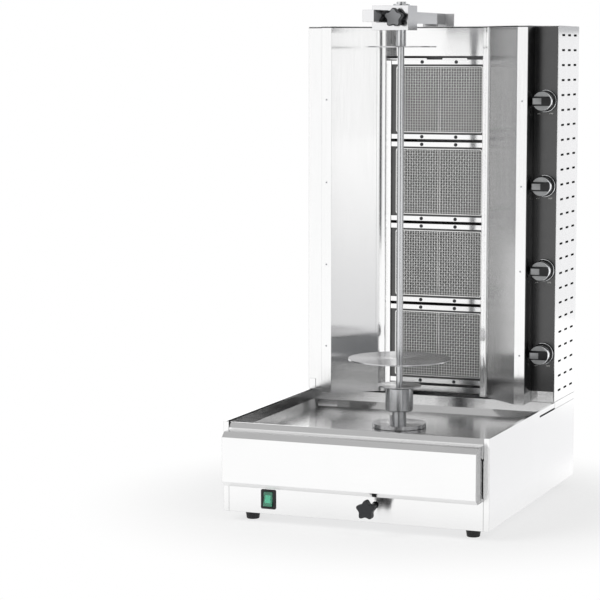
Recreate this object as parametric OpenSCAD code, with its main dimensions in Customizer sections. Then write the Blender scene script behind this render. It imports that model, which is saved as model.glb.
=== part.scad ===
// Vertical kebab grill for a counter top: four gas radiant burners stacked in a folded steel
// housing, a motor-driven spit in front of them, a juice pan below and a drawer under the pan.
// Millimetres, +Z up, +X to the operator's right, +Y from the operator towards the burners.
// Origin: middle of the bounding box, on the surface that the feet stand on.

/* [Base cabinet] */
// Width of the cabinet and of the burner housing
base_w = 580; // [560:1:640]
// Depth of the cabinet
base_d = 660; // [640:1:720]
// Thickness of the folded steel sheet
sheet = 1.2; // [0.8:0.1:2]
// Hairline gap between neighbouring sheets
seam = 0.4; // [0.2:0.1:0.6]
// Height of the front fascia
fascia_h = 67; // [62:1:80]
// Clear height of the drawer opening above the fascia
bay_h = 77; // [70:1:100]
// Gap between the drawer bay and the spit's carriage at the end of its travel
bay_gap = 5; // [2:0.5:20]
// Width of the front flange on each side panel
flange_w = 12; // [8:1:20]
// Width of the rim folded in along the top of each side panel
rim_w = 6; // [4:0.5:10]
// How far that rim stands above the lip of the pan
rim_step = 2.5; // [1:0.5:5]
// Height of the tongue that each side panel leaves beside the housing
tongue_h = 14.5; // [10:0.5:20]
// Length of the slit under that tongue
slit_l = 122; // [60:1:180]
// Height of that slit
slit_h = 4; // [2:0.5:6]
// Depth of the shadow grooves between cabinet, plinth, housing and roof
groove = 1; // [0.5:0.1:1.4]

/* [Feet] */
// Height of the rubber feet
foot_h = 22; // [12:1:40]
// Diameter of a foot at the cabinet
foot_d = 34; // [26:1:50]
// Diameter of a foot at the counter
foot_tip_d = 27; // [20:1:40]
// Distance of the foot centres from the cabinet's edges
foot_inset = 47; // [30:1:70]

/* [Juice pan] */
// Height of the lip along the front of the pan
lip_h = 43; // [36:1:60]
// Height and depth of the bevel along the top of the lip
lip_bevel = 10; // [4:1:14]
// Depth of the lip from its face to the inside of the pan
lip_d = 15; // [12:1:30]
// Radius of the lower corners of the lip
lip_r = 7; // [3:0.5:12]
// Height of the pan's floor above the foot of the lip
pan_rise = 7; // [4:0.5:14]
// Bend along the lower edges of the pan, along each leg
pan_chamfer = 14; // [6:1:24]
// How far the pan reaches back under the housing
pan_tuck = 18; // [8:1:30]
// Height of the collar round the drive slot in the pan's floor
coaming_h = 3.5; // [2:0.5:5]

/* [Drawer] */
// Gap between the drawer's tray and each side of its bay
drawer_side_gap = 3; // [1:0.5:6]
// Height of the tray
tray_h = 72; // [50:1:74]
// Gap between the tray and the back of its bay
tray_gap = 35; // [5:1:90]
// How far the drawer's front hangs below the tray
front_drop = 8; // [4:0.5:8]
// Height of the drawer's front
front_h = 114; // [90:1:118]
// Depth of the drawer's front
front_d = 43; // [20:1:43]
// Height of the bevels along the drawer's front
front_bevel = 10; // [4:1:20]
// Depth of those bevels
front_bevel_d = 13; // [4:1:18]
// Sheet thickness of the drawer
drawer_sheet = 1.2; // [0.8:0.1:2]
// Running gap under the drawer
slide_gap = 0.4; // [0.3:0.05:0.8]
// Height of the runners under the drawer
runner_h = 8; // [5:0.5:8]
// Width of the runners under the drawer
runner_w = 14; // [8:1:30]
// Distance of each runner from the side of the bay
runner_inset = 70; // [30:1:120]

/* [Burner housing] */
// Depth of the housing
housing_d = 173; // [170:1:190]
// Height of the housing above the plinth
housing_h = 822; // [812:1:900]
// Width of the strip beside each wing
strip_w = 53; // [50:1:70]
// How far the wings stand in front of the strips
wing_reach = 56; // [30:1:70]
// Width of the flange along the front of each wing
wing_flange = 23; // [12:1:35]
// Width of the flange along the inner edge of each wing
wing_lip = 13; // [6:1:20]
// Distance of that inner flange behind the strips
throat_set = 22; // [10:1:35]
// Distance of the burner meshes behind the strips
burner_set = 61; // [50:1:66]
// Height of the sill under the control panel
sill_h = 22.5; // [14:0.5:30]
// Width of the locating tabs on the sill
tab_w = 16; // [8:1:24]
// Thickness of the control panel
panel_t = 2; // [1.5:0.1:3]
// Height of the upper cover plate above the burners
cover_h = 64; // [40:1:66]
// Height of the lower cover strip
sill_cover_h = 12; // [6:1:18]
// Length of a vent slot
vent_l = 25; // [12:1:36]
// Height of a vent slot
vent_h = 4.5; // [2:0.5:8]
// Distance between vent rows
vent_row = 32.5; // [20:0.5:50]
// Distance between vent columns
vent_col = 49.5; // [44:0.5:54]
// Distance of the first vent column from the strips
vent_front = 40.8; // [24:0.1:50]
// Distance of the top vent row below the roof
vent_top = 20; // [12:1:40]

/* [Burners] */
// Width of a burner's mesh
mesh_w = 200; // [180:1:204]
// Width of the frame round a mesh
frame_w = 4; // [2:0.5:6]
// Radius of the mesh's corners
frame_r = 5; // [2:0.5:8]
// Gap between that frame and the clamp rails
frame_gap = 2.2; // [1:0.1:4]
// Height of the lowest burner's foot above the plinth
burner_low = 18; // [14:0.5:26]
// Gap between neighbouring burners
burner_gap = 6.5; // [3:0.5:12]
// Gap between the top burner and the cover above it
cover_gap = 8; // [3:0.5:14]
// Clear margin between mesh and wing
throat_margin = 13; // [11:0.5:20]
// Height of a clamp rail
rail_h = 10.7; // [8:0.1:14]
// Thickness of a clamp rail
rail_t = 2.5; // [1.5:0.1:4]
// Thickness of the wire mesh
mesh_t = 1.5; // [1:0.1:3]
// Width of the coarse wires of the mesh
wire_w = 1.6; // [1:0.1:3]
// Width of the bar down the middle of a mesh
mullion_w = 3; // [2:0.5:6]
// Depth of a burner's casing
casing_d = 45; // [38:1:60]
// Thickness of the ceramic plates
ceramic_t = 12; // [8:1:16]
// Distance of the ceramic plates behind the mesh
ceramic_set = 2; // [1:0.5:4]
// Distance of the rail screws from the middle
screw_x = 40; // [20:1:90]
// Diameter of a rail screw's head
screw_d = 8; // [5:0.5:10]

/* [Gas controls] */
// Diameter of a gas knob's chrome skirt
skirt_d = 48; // [40:1:50]
// Diameter of a gas knob's cap
cap_d = 43; // [32:1:48]
// Depth of the skirt
skirt_t = 6; // [3:0.5:10]
// Depth of the cap
cap_t = 27; // [10:1:30]
// Height of the grip wedge in front of the cap
grip_d = 10; // [6:1:16]
// Width of the grip wedge at the cap
grip_w = 21; // [16:1:24]
// Width of the grip wedge's front face
grip_top_w = 15; // [8:1:16]
// Reach of the wedge's front face from the knob's axis to its thick end
grip_nose = 18; // [12:1:19]
// Reach of the wedge's front face from the knob's axis to its ramp
grip_ramp = 3; // [0:1:8]
// How far a gas knob is pushed in to light
push = 3; // [2:0.5:5]
// Gap left behind a pushed knob
push_gap = 1; // [0.5:0.1:2]
// Diameter of a tap's stem
stem_d = 8; // [6:0.5:10]
// Diameter of a tap's body
tap_d = 28; // [22:1:34]
// Length of a tap behind the face of the control panel
tap_l = 58; // [50:1:70]
// Length of a tap's narrow neck
tap_neck = 24; // [16:1:30]
// Distance of a tap's outlet behind the face of the control panel
outlet_set = 18; // [14:1:22]
// Width of the square gas manifold
manifold_w = 20; // [16:1:26]
// Diameter of the feed pipes
pipe_d = 8; // [6:0.5:10]
// Diameter of the gas inlet's spigot
inlet_d = 21; // [17:0.5:27]
// Free length of that spigot
inlet_l = 14; // [10:1:24]
// Height of the inlet above the plinth
inlet_up = 60; // [40:1:90]

/* [Switch and cable entry] */
// Distance of the switch from the cabinet's side
switch_inset = 102; // [80:1:150]
// Height of the switch's centre above the cabinet's floor
switch_up = 31; // [28:1:34]
// Width of the switch's bezel
bezel_w = 33; // [28:1:40]
// Height of the bezel
bezel_h = 41; // [36:1:46]
// Width of the rocker
rocker_w = 20; // [14:1:24]
// Height of the rocker
rocker_h = 32; // [24:1:34]
// How far the rocker leans to each side
rocker_tilt = 7; // [4:0.5:9]
// Diameter of the rocker's pivot pin
pivot_d = 3; // [2:0.5:5]
// Wall of the switch's case
case_wall = 2.7; // [2:0.1:4]
// Depth of that case behind the fascia
case_d = 24; // [18:1:36]
// Diameter of the cable gland
gland_d = 20; // [14:1:28]

/* [Spit] */
// Distance of the spit from the burner meshes
spit_gap = 263; // [250:1:266]
// Travel of the spit to each side of its middle place
spit_travel = 20; // [5:1:22]
// Diameter of the spit's rod
rod_d = 14; // [10:0.5:15]
// How far the rod ends below the top of its bearing sleeve
rod_short = 25; // [10:1:40]
// Diameter of the drive spindle
spindle_d = 16; // [12:0.5:18]
// Diameter of the drive shaft above the turntable
shaft_d = 30; // [24:1:34]
// Diameter of the turntable
turntable_d = 116; // [112:1:140]
// Height of the turntable
turntable_h = 8; // [7:0.5:14]
// Height of the driving dog on the turntable
dog_h = 17; // [10:1:24]
// Height of the bare shaft above the turntable
shaft_h = 27; // [20:1:40]
// Diameter of the cup that carries the rod
cup_d = 60; // [44:1:70]
// Height of that cup
cup_h = 51; // [46:1:70]
// Diameter of the splash disc on the cup
splash_d = 94; // [80:1:120]
// Diameter of the meat disc
meat_d = 222; // [180:1:240]
// Height of the meat disc above the cup
meat_up = 60; // [40:1:120]
// Thickness of the discs
disc_t = 2.5; // [1.5:0.5:4]
// Radial running clearance of every shaft in its bore
run = 0.05; // [0.02:0.01:0.09]

/* [Spit drive] */
// Height of the clamp rod above the cabinet's floor
clamp_up = 37; // [34:1:38]
// Distance of the clamp rod from the middle
clamp_x = 48; // [46:1:50]
// Diameter of the clamp rod
clamp_d = 10; // [8:0.5:12]
// Reach of the front star knob in front of the fascia
knob_reach = 62; // [60:1:80]
// Diameter of a star knob over its lobes
star_d = 41; // [32:1:42]
// Depth of a star knob's head
star_t = 16; // [10:1:20]
// Width of the gearbox
gearbox_w = 72; // [60:1:76]
// Height of the gearbox
gearbox_h = 75; // [60:1:84]
// Diameter of the motor
motor_d = 56; // [44:1:64]
// Width of the carriage plate
carriage_w = 140; // [130:1:160]
// Thickness of the carriage plate
carriage_t = 4; // [3:0.5:6]
// Distance of the carriage's leg in front of the spit
leg_set = 20; // [18:1:26]
// Gap between the carriage plate and the pan's floor
carriage_drop = 7.5; // [4:0.5:12]

/* [Top bearing] */
// Side of the square top arm
arm_w = 25; // [20:1:30]
// Wall of that arm
arm_wall = 2; // [1.5:0.1:3]
// Distance of the arm's middle from the spit
arm_off = 34; // [34:0.5:40]
// Reach of the arm in front of the spit
arm_reach = 112; // [70:1:160]
// Height of the pad that the arm stands on
pad_h = 5.5; // [3:0.5:12]
// Length of that pad
pad_l = 70; // [50:1:74]
// Depth of the bearing block
block_d = 59; // [50:1:80]
// Distance of the block's face in front of the spit
block_set = 26; // [20:1:36]
// Height of the bearing block
block_h = 52; // [48:1:64]
// Wall of the block beside the arm and the sleeve
block_wall = 10; // [6:0.5:14]
// Diameter of the bearing sleeve
sleeve_d = 21; // [20:0.5:26]
// Length of the sleeve above the block
sleeve_up = 8; // [5:0.5:20]
// Lift of the sleeve
sleeve_lift = 30; // [10:1:30]
// Room left between the lifted upper disc and the block
lift_room = 6; // [4:0.5:20]
// Diameter of the stop collar on the sleeve
collar_d = 36; // [30:1:44]
// Diameter of the upper disc
upper_d = 150; // [100:1:180]

/* [Hidden] */
$fn = 64;
burners = 4;
vent_rows = 25;
vent_columns = 3;
mesh_columns = 12;
mesh_rows = 6;
star_lobes = 5;
fit = 0.3;

steel = "#d9dbdd";
satin = "#c4c7c9";
bright = "#eceded";
black = "#1c1d1f";
brass = "#b89a55";
ceramic = "#d9c8b4";
wire = "#8c8a86";
rubber = "#17181a";
green = "#3fb28a";

// Heights above the counter
z_base = foot_h;
z_fascia = z_base + fascia_h;
z_lip = z_fascia + bay_h;
z_lip_top = z_lip + lip_h;
z_rim = z_lip_top + rim_step;
z_seam = z_rim - tongue_h;
z_plinth = z_rim + groove + sheet;
z_roof = z_plinth + housing_h;
z_wall = z_roof - sheet - groove;
z_pan = z_lip + pan_rise;
z_bay = z_fascia - runner_h;

// Places across the width
half_w = base_w / 2;
skin_x = half_w - sheet;
rim_x = half_w - rim_w;
front_x = half_w - flange_w - seam;
bay_x = front_x - sheet;
pan_x = rim_x - seam - sheet;
wing_x = half_w - strip_w;
throat_x = mesh_w / 2 + throat_margin;
knob_x = half_w - strip_w / 2;
switch_x = half_w - switch_inset;

// Places along the depth, counted from the cabinet's front
housing_y = base_d - housing_d;
plinth_y = housing_y + rim_w;
wing_y = housing_y - wing_reach;
throat_y = housing_y + throat_set;
mesh_y = housing_y + burner_set;
cover_y = mesh_y - rail_t;
casing_y = mesh_y + mesh_t;
casing_back = casing_y + casing_d;
pan_back = housing_y + pan_tuck;
spit_y = mesh_y - spit_gap;
leg_y = spit_y - leg_set;
bay_d = leg_y - spit_travel - bay_gap;
tray_d = bay_d - tray_gap;
bay_front = flange_w + seam;
panel_back = housing_y + panel_t;

// Gas train behind the control panel
tap_back = housing_y + tap_l;
pipe_set = 4;
pipe_y = casing_y + casing_d / 2 + pipe_set;
nozzle_l = 18;
pipe_x = knob_x - tap_d / 2 - nozzle_l;
nozzle_wall = 3;
outlet_y = housing_y + outlet_set;
nut_t = 8;
nut_rim = 4.5;
inlet_reach = nut_t + inlet_l;
z_inlet = z_plinth + inlet_up;

// Drive under the pan
z_carriage = z_pan - sheet - carriage_drop - carriage_t;
z_gearbox = z_carriage - gearbox_h;
table_gap = 1;
z_turntable = z_pan + table_gap;
z_shaft = z_turntable + turntable_h;
z_cup = z_shaft + shaft_h;
z_rod = z_cup + cup_h;
z_meat = z_rod + meat_up;
socket = 28;
rod_seat = 14;
cup_edge = 2;
hub_h = 14;
splash_hub = 2.5;
z_clamp = z_base + clamp_up;

// Bearing above the roof
z_arm = z_roof + pad_h;
block_drop = 3;
z_block = z_arm + arm_w / 2 - block_h / 2 - block_drop;
z_block_top = z_block + block_h;
z_sleeve_top = z_block_top + sleeve_up;
sleeve_l = sleeve_up + block_h + sleeve_lift + lift_room;
z_top_knob = z_block + block_h / 2;
block_y = spit_y - block_set;

// The cabinet's front in the part's own frame
y_front = (knob_reach - base_d - inlet_reach) / 2;

// Height of burner i, counted from the lowest
function burner_z(i) = z_plinth + burner_low + casing_h / 2 + (i - 1) * (casing_h + burner_gap);

function unit(v) = v / norm(v);
function left_of(v) = [-v[1], v[0]];

// Mitred point beside point i of a bent line, at distance t to its left
function beside(p, i, t) =
    let (
        last = len(p) - 1,
        before = unit(i > 0 ? p[i] - p[i - 1] : p[1] - p[0]),
        after = unit(i < last ? p[i + 1] - p[i] : p[last] - p[last - 1]),
        m = left_of(before) + left_of(after)
    ) p[i] + m * (2 * t / (m * m));

// Outline of a sheet of thickness t bent along the line p
function bent(p, t) = concat(p, [for (i = [len(p) - 1 : -1 : 0]) beside(p, i, t)]);

// Section of an open tub from a0 to a1 with bevelled lower edges
function tub(a0, a1, low, high, bevel) = [
    [a0, high], [a0, low + bevel], [a0 + bevel, low],
    [a1 - bevel, low], [a1, low + bevel], [a1, high]
];

// Half plan of the housing with its wings, mirrored to both sides
function housing_plan(edge) =
    let (right = [
        [half_w - edge, base_d - edge], [half_w - edge, housing_y], [wing_x, housing_y],
        [wing_x, wing_y], [wing_x - wing_flange, wing_y], [throat_x + wing_lip, throat_y],
        [throat_x, throat_y], [throat_x, cover_y]
    ]) concat(right, [for (i = [len(right) - 1 : -1 : 0]) [-right[i][0], right[i][1]]]);

// Plan line of the right wing, from the burners to the control panel
function wing_line() = [
    [throat_x, casing_back], [throat_x, throat_y], [throat_x + wing_lip, throat_y],
    [wing_x - wing_flange, wing_y], [wing_x, wing_y], [wing_x, housing_y]
];

module place() translate([0, y_front, 0]) children();

module along_x(x0, x1) translate([x0, 0, 0]) rotate([90, 0, 90]) linear_extrude(x1 - x0) children();

module along_y(y0, y1) translate([0, y1, 0]) rotate([90, 0, 0]) linear_extrude(y1 - y0) children();

module along_z(z0, z1) translate([0, 0, z0]) linear_extrude(z1 - z0) children();

// Box between two corners
module slab(low, high) translate(low) cube(high - low);

// Box that is the same on both sides of the middle
module wide_slab(x, y0, y1, z0, z1) slab([-x, y0, z0], [x, y1, z1]);

module both_sides() {
    children();
    mirror([1, 0, 0]) children();
}

// Round bar along Y
module bar_y(x, z, d, y0, y1) translate([x, y0, z]) rotate([-90, 0, 0]) cylinder(d = d, h = y1 - y0);

// Round bar along Z on the spit's axis
module bar_z(d, z0, z1) translate([0, spit_y, z0]) cylinder(d = d, h = z1 - z0);

module rounded(w, h, r) {
    square([w - 2 * r, h], center = true);
    square([w, h - 2 * r], center = true);
    for (x = [-1, 1], y = [-1, 1]) translate([x * (w / 2 - r), y * (h / 2 - r)]) circle(r);
}

// Slot with round ends
module obround(l, w) {
    square([l - w, w], center = true);
    for (x = [-1, 1]) translate([x * (l - w) / 2, 0]) circle(d = w);
}

// Cabinet

module base_side() {
    along_x(skin_x, half_w) polygon([
        [0, z_base], [base_d, z_base], [base_d, z_seam], [plinth_y - slit_l, z_seam],
        [plinth_y - slit_l, z_seam + slit_h], [plinth_y - groove, z_seam + slit_h],
        [plinth_y - groove, z_rim], [0, z_rim]
    ]);
    slab([half_w - flange_w, 0, z_base], [half_w, sheet, z_rim]);
    slab([rim_x, 0, z_rim - sheet], [half_w, plinth_y - groove, z_rim]);
    slab([rim_x, plinth_y, z_seam - sheet], [half_w, base_d, z_seam]);
}

module base_side_left() color(steel) place() mirror([1, 0, 0]) base_side();

module base_side_right() color(steel) place() base_side();

module front_fascia() color(bright) place() difference() {
    along_x(-front_x, front_x)
        polygon(bent([[flange_w, z_fascia], [0, z_fascia], [0, z_base], [flange_w, z_base]], sheet));
    translate([-switch_x, 0, z_switch]) along_y(-1, sheet + 1)
        square([case_w + 2 * fit, case_h + 2 * fit], center = true);
    bar_y(clamp_x, z_clamp, clamp_d + 4, -1, sheet + 1);
}

module base_floor() color(satin) place()
    wide_slab(skin_x - seam, bay_front, base_d - sheet - seam, z_base, z_base + sheet);

module base_rear() color(satin) place() difference() {
    wide_slab(skin_x - seam, base_d - sheet, base_d, z_base, z_seam - sheet - seam);
    bar_y(-switch_x, z_switch, gland_d * 0.8 + 2 * fit, base_d - sheet - 1, base_d + 1);
    for (row = [0 : 2], side = [-1, 1]) translate([side * half_w / 4, 0, z_base + fascia_h + row * 18])
        along_y(base_d - sheet - 1, base_d + 1) obround(2.4 * vent_l, vent_h);
}

module drawer_bay() color(bright) place() {
    wide_slab(front_x, sheet + seam, bay_d + sheet, z_bay - sheet, z_bay);
    both_sides() {
        along_x(bay_x, front_x) polygon([
            [bay_front, z_bay], [bay_d, z_bay], [bay_d, z_lip - seam], [sheet + seam, z_lip - seam],
            [sheet + seam, z_fascia + seam], [bay_front, z_fascia + seam]
        ]);
        slab([bay_x - runner_inset, bay_front, z_bay],
            [bay_x - runner_inset + runner_w, bay_d, z_fascia]);
    }
    wide_slab(front_x - lip_d, bay_d, bay_d + sheet, z_bay, z_pan - sheet);
}

module pan_room(wall) intersection() {
    bevel = pan_chamfer + wall * (2 - sqrt(2));
    top = wall > 0 ? z_lip_top : z_rim + 1;
    along_y(0, base_d) polygon(tub(-pan_x - wall, pan_x + wall, z_pan - wall, top, bevel));
    along_x(-half_w, half_w) polygon(tub(lip_d - wall, pan_back + wall, z_pan - wall, top, bevel));
}

// Folded lip along the front, with rounded lower corners
module pan_lip() intersection() {
    along_x(-front_x + seam, front_x - seam) polygon(bent([
        [lip_d - sheet, z_lip], [0, z_lip], [0, z_lip_top - lip_bevel],
        [lip_bevel, z_lip_top], [lip_d - sheet / 2, z_lip_top]
    ], -sheet));
    along_y(-1, lip_d) union() {
        translate([0, z_lip + lip_h / 2]) rounded(2 * (front_x - seam), lip_h, lip_r);
        translate([-front_x + seam, z_lip + lip_h / 2]) square([2 * (front_x - seam), lip_h / 2]);
    }
}

module drive_slot(grow, z0, z1) translate([0, spit_y, 0]) along_z(z0, z1) rotate(90)
    obround(spindle_d + 2 + 2 * spit_travel + 2 * grow, spindle_d + 2 + 2 * grow);

module juice_pan() color(bright) place() difference() {
    union() {
        difference() {
            pan_room(sheet);
            pan_room(0);
        }
        drive_slot(sheet, z_pan - sheet, z_pan + coaming_h);
        pan_lip();
    }
    drive_slot(0, z_pan - sheet - 1, z_pan + coaming_h + 1);
}

module feet() color(rubber) place()
    for (x = [-1, 1], y = [foot_inset, base_d - foot_inset])
        translate([x * (half_w - foot_inset), y, 0]) {
            cylinder(d1 = foot_tip_d, d2 = foot_d - 2, h = foot_h - 4);
            translate([0, 0, foot_h - 4]) cylinder(d = foot_d, h = 4);
        }

// Drawer

module drawer_section(in) polygon([
    [-slide_gap - in * 2, z_drawer + in], [front_bevel_d - front_d, z_drawer + in],
    [in - front_d, z_drawer + front_bevel], [in - front_d, z_drawer + front_h - front_bevel],
    [front_bevel_d - front_d, z_drawer + front_h - in], [-slide_gap - in * 2, z_drawer + front_h - in]
]);

z_tray = z_fascia + slide_gap;
z_drawer = z_tray - front_drop;
tray_x = bay_x - drawer_side_gap;

module drawer_front() color(bright) place() difference() {
    along_x(-tray_x - drawer_sheet - fit, tray_x + drawer_sheet + fit) drawer_section(0);
    along_x(-tray_x - fit, tray_x + fit) {
        drawer_section(drawer_sheet);
        polygon([
            [1, z_drawer + drawer_sheet], [-front_d / 2, z_drawer + drawer_sheet],
            [-front_d / 2, z_drawer + front_h - drawer_sheet], [1, z_drawer + front_h - drawer_sheet]
        ]);
    }
}

module drawer_tray() color(bright) place() difference() {
    wide_slab(tray_x, -slide_gap - drawer_sheet, tray_d, z_tray, z_tray + tray_h);
    wide_slab(tray_x - drawer_sheet, -slide_gap, tray_d - drawer_sheet,
        z_tray + drawer_sheet, z_tray + tray_h + 1);
}

// Housing

module housing_plinth() color(steel) place() {
    low = z_plinth - sheet;
    along_z(low, z_plinth) polygon(housing_plan(groove));
    both_sides() {
        slab([rim_x + seam, plinth_y, z_seam], [skin_x + sheet / 2, base_d - groove, low]);
        slab([rim_x + seam, plinth_y, z_seam], [rim_x + rim_w / 2, base_d - groove, z_plinth - sheet / 2]);
        slab([skin_x, plinth_y, z_seam + groove], [half_w, base_d, low]);
        slab([skin_x - tab_w, housing_y - sheet, low], [skin_x - seam, housing_y, z_plinth + sill_h]);
        slab([skin_x - tab_w, housing_y - sheet, low], [skin_x - seam, housing_y + sheet, z_plinth]);
    }
    slab([wing_x + seam, housing_y, low], [skin_x - seam, housing_y + sheet, z_plinth + sill_h]);
    wide_slab(rim_x + sheet, base_d - sheet - groove, base_d - groove, z_seam, z_plinth - sheet / 2);
}

// Side skin with its field of vent slots
module vented_skin() along_x(skin_x, half_w) difference() {
    translate([housing_y, z_plinth]) square([housing_d, housing_h - sheet]);
    for (row = [0 : vent_rows - 1], col = [0 : vent_columns - 1])
        translate([housing_y + vent_front + col * vent_col, z_roof - vent_top - row * vent_row])
            obround(vent_l, vent_h);
}

module housing_side_left() color(steel) place() mirror([1, 0, 0]) {
    vented_skin();
    slab([wing_x + seam, housing_y, z_plinth], [half_w, housing_y + sheet, z_wall]);
}

module housing_side_right() color(steel) place() vented_skin();

module housing_rear() color(satin) place() difference() {
    wide_slab(skin_x - seam, base_d - sheet, base_d, z_plinth, z_roof - sheet);
    bar_y(knob_x, z_inlet, inlet_d * 0.8 + 2 * fit, base_d - sheet - 1, base_d + 1);
    for (row = [0 : 2], col = [-2 : 2])
        translate([col * half_w / 3, 0, z_roof - 2 * vent_top - row * vent_row])
            along_y(base_d - sheet - 1, base_d + 1) obround(2.4 * vent_l, vent_h);
}

module housing_top() color(steel) place()
    along_z(z_roof - sheet, z_roof) polygon(housing_plan(0));

module wing() along_z(z_plinth, z_wall) polygon(bent(wing_line(), sheet));

module wing_left() color(steel) place() mirror([1, 0, 0]) wing();

module wing_right() color(steel) place() difference() {
    wing();
    for (i = [1 : burners]) translate([0, pipe_y, burner_z(i)]) along_x(throat_x - 1, throat_x + sheet + 1)
        circle(d = pipe_d + 4);
}

module control_panel() color(black) place() difference() {
    slab([wing_x + seam, housing_y, z_plinth + sill_h + seam],
        [skin_x - seam, panel_back, z_wall]);
    for (i = [1 : burners]) bar_y(knob_x, burner_z(i), stem_d + 4, housing_y - 1, panel_back + 1);
}

module upper_cover() color(bright) place() {
    wide_slab(throat_x - seam, cover_y, cover_y + sheet, z_roof - sheet - cover_h, z_wall);
    wide_slab(throat_x - seam, cover_y + sheet, cover_y + flange_w,
        z_roof - sheet - cover_h, z_roof - cover_h);
}

module lower_cover() color(bright) place() {
    wide_slab(throat_x - seam, cover_y, cover_y + sheet, z_plinth, z_plinth + sill_cover_h);
    wide_slab(throat_x - seam, cover_y + sheet, cover_y + flange_w,
        z_plinth + sill_cover_h - sheet, z_plinth + sill_cover_h);
}

// Burners

// The burners share the height that the cover and the gaps leave
stack_h = housing_h - sheet - cover_h - cover_gap - burner_low;
casing_h = (stack_h - (burners - 1) * burner_gap) / burners;
rail_z = casing_h / 2 - rail_h / 2;
frame_h = casing_h - 2 * rail_h - 2 * frame_gap;
mesh_h = frame_h - 2 * frame_w;
casing_x = throat_x - seam;
frame_x = casing_x - fit;
plate_y = casing_y + sheet + ceramic_set;
plate_x = mesh_w / 2 + 2;
plate_z = mesh_h / 2 + 2;
ledge = 6;

// Folded casing: a box with a window in front of the plates and a ledge behind them
module burner_body(i) color(satin) place() translate([0, 0, burner_z(i)]) difference() {
    wide_slab(casing_x, casing_y, casing_back, -casing_h / 2, casing_h / 2);
    wide_slab(mesh_w / 2, casing_y - 1, casing_y + sheet + 1, -mesh_h / 2, mesh_h / 2);
    wide_slab(casing_x - sheet, casing_y + sheet, plate_y + ceramic_t,
        sheet - casing_h / 2, casing_h / 2 - sheet);
    wide_slab(plate_x - ledge, plate_y, casing_back - sheet, ledge - plate_z, plate_z - ledge);
    wide_slab(casing_x - sheet, plate_y + ceramic_t + sheet, casing_back - sheet,
        sheet - casing_h / 2, casing_h / 2 - sheet);
}

module ceramic_plates() color(ceramic) place()
    for (i = [1 : burners]) translate([0, 0, burner_z(i)]) both_sides()
        slab([seam / 2, plate_y, -plate_z], [plate_x, plate_y + ceramic_t, plate_z]);

// Woven wire as a coarse grid in a frame with rounded corners, with a bar down the middle
module burner_meshes() color(wire) place()
    for (i = [1 : burners]) translate([0, 0, burner_z(i)]) along_y(mesh_y, casing_y) {
        gap_w = (mesh_w - mullion_w) / mesh_columns;
        gap_h = mesh_h / mesh_rows;
        difference() {
            square([2 * frame_x, frame_h], center = true);
            intersection() {
                rounded(mesh_w, mesh_h, frame_r);
                for (side = [-1, 1], c = [0 : mesh_columns / 2 - 1], r = [0 : mesh_rows - 1])
                    translate([side * (mullion_w / 2 + (c + 0.5) * gap_w), (r + 0.5) * gap_h - mesh_h / 2])
                        square([gap_w - wire_w, gap_h - wire_w], center = true);
            }
        }
    }

module burner_rails() color(bright) place()
    for (i = [1 : burners], side = [-1, 1]) translate([0, 0, burner_z(i) + side * rail_z])
        wide_slab(frame_x, cover_y, casing_y, -rail_h / 2, rail_h / 2);

module rail_screws() color(satin) place()
    for (i = [1 : burners], side = [-1, 1], x = [-screw_x, screw_x])
        translate([x, cover_y, burner_z(i) + side * rail_z]) rotate([90, 0, 0])
            cylinder(d1 = screw_d, d2 = screw_d * 0.7, h = 2.2);

// Gas train

module gas_taps() color(brass) place()
    for (i = [1 : burners]) translate([0, 0, burner_z(i)]) difference() {
        union() {
            bar_y(knob_x, 0, tap_d, panel_back, tap_back - tap_neck);
            bar_y(knob_x, 0, tap_d * 0.6, tap_back - tap_neck, tap_back);
            translate([pipe_x, outlet_y, 0]) rotate([0, 90, 0])
                cylinder(d = pipe_d + 2 * nozzle_wall, h = knob_x - pipe_x);
        }
        bar_y(knob_x, 0, stem_d + 2 * run, panel_back - 1, stem_back + push + 1);
    }

module gas_manifold() color(brass) place() difference() {
    slab([knob_x - manifold_w / 2, tap_back, z_inlet - manifold_w],
        [knob_x + manifold_w / 2, tap_back + manifold_w, burner_z(burners) + manifold_w]);
    slab([knob_x - manifold_w / 2 + 2, tap_back + 2, z_inlet - manifold_w + 2],
        [knob_x + manifold_w / 2 - 2, tap_back + manifold_w - 2, burner_z(burners) + manifold_w - 2]);
}

module feed_pipes() color(brass) place()
    for (i = [1 : burners]) translate([0, 0, burner_z(i)]) {
        bend_x = pipe_x - pipe_d;
        translate([bend_x, outlet_y, 0]) rotate([0, 90, 0]) cylinder(d = pipe_d, h = pipe_x - bend_x);
        translate([bend_x, outlet_y, 0]) sphere(d = pipe_d);
        bar_y(bend_x, 0, pipe_d, outlet_y, pipe_y);
        translate([bend_x, pipe_y, 0]) sphere(d = pipe_d);
        translate([throat_x - seam, pipe_y, 0]) rotate([0, 90, 0])
            cylinder(d = pipe_d, h = bend_x - throat_x + seam);
    }

module gas_inlet() color(brass) place() {
    bar_y(knob_x, z_inlet, inlet_d * 0.8, tap_back + manifold_w, base_d);
    translate([knob_x, base_d, z_inlet]) rotate([-90, 0, 0])
        cylinder(d = inlet_d + 2 * nut_rim, h = nut_t, $fn = 6);
    bar_y(knob_x, z_inlet, inlet_d, base_d + nut_t, base_d + inlet_reach);
}

stem_front = housing_y - push - push_gap - skirt_t - cap_t / 2;
stem_seat = 8;
stem_back = panel_back + stem_seat;
knob_back = housing_y - push - push_gap;

module tap_stem(i) color(brass) place() bar_y(knob_x, burner_z(i), stem_d, stem_front, stem_back);

// One side view of the grip wedge, drawn through the knob
module grip_view(foot, left, right, cap_z) translate([0, 0, -skirt_d]) linear_extrude(2 * skirt_d) polygon([
    [-foot / 2, cap_z - cap_t / 4], [foot / 2, cap_z - cap_t / 4], [foot / 2, cap_z],
    [right, cap_z + grip_d], [-left, cap_z + grip_d], [-foot / 2, cap_z]
]);

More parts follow.
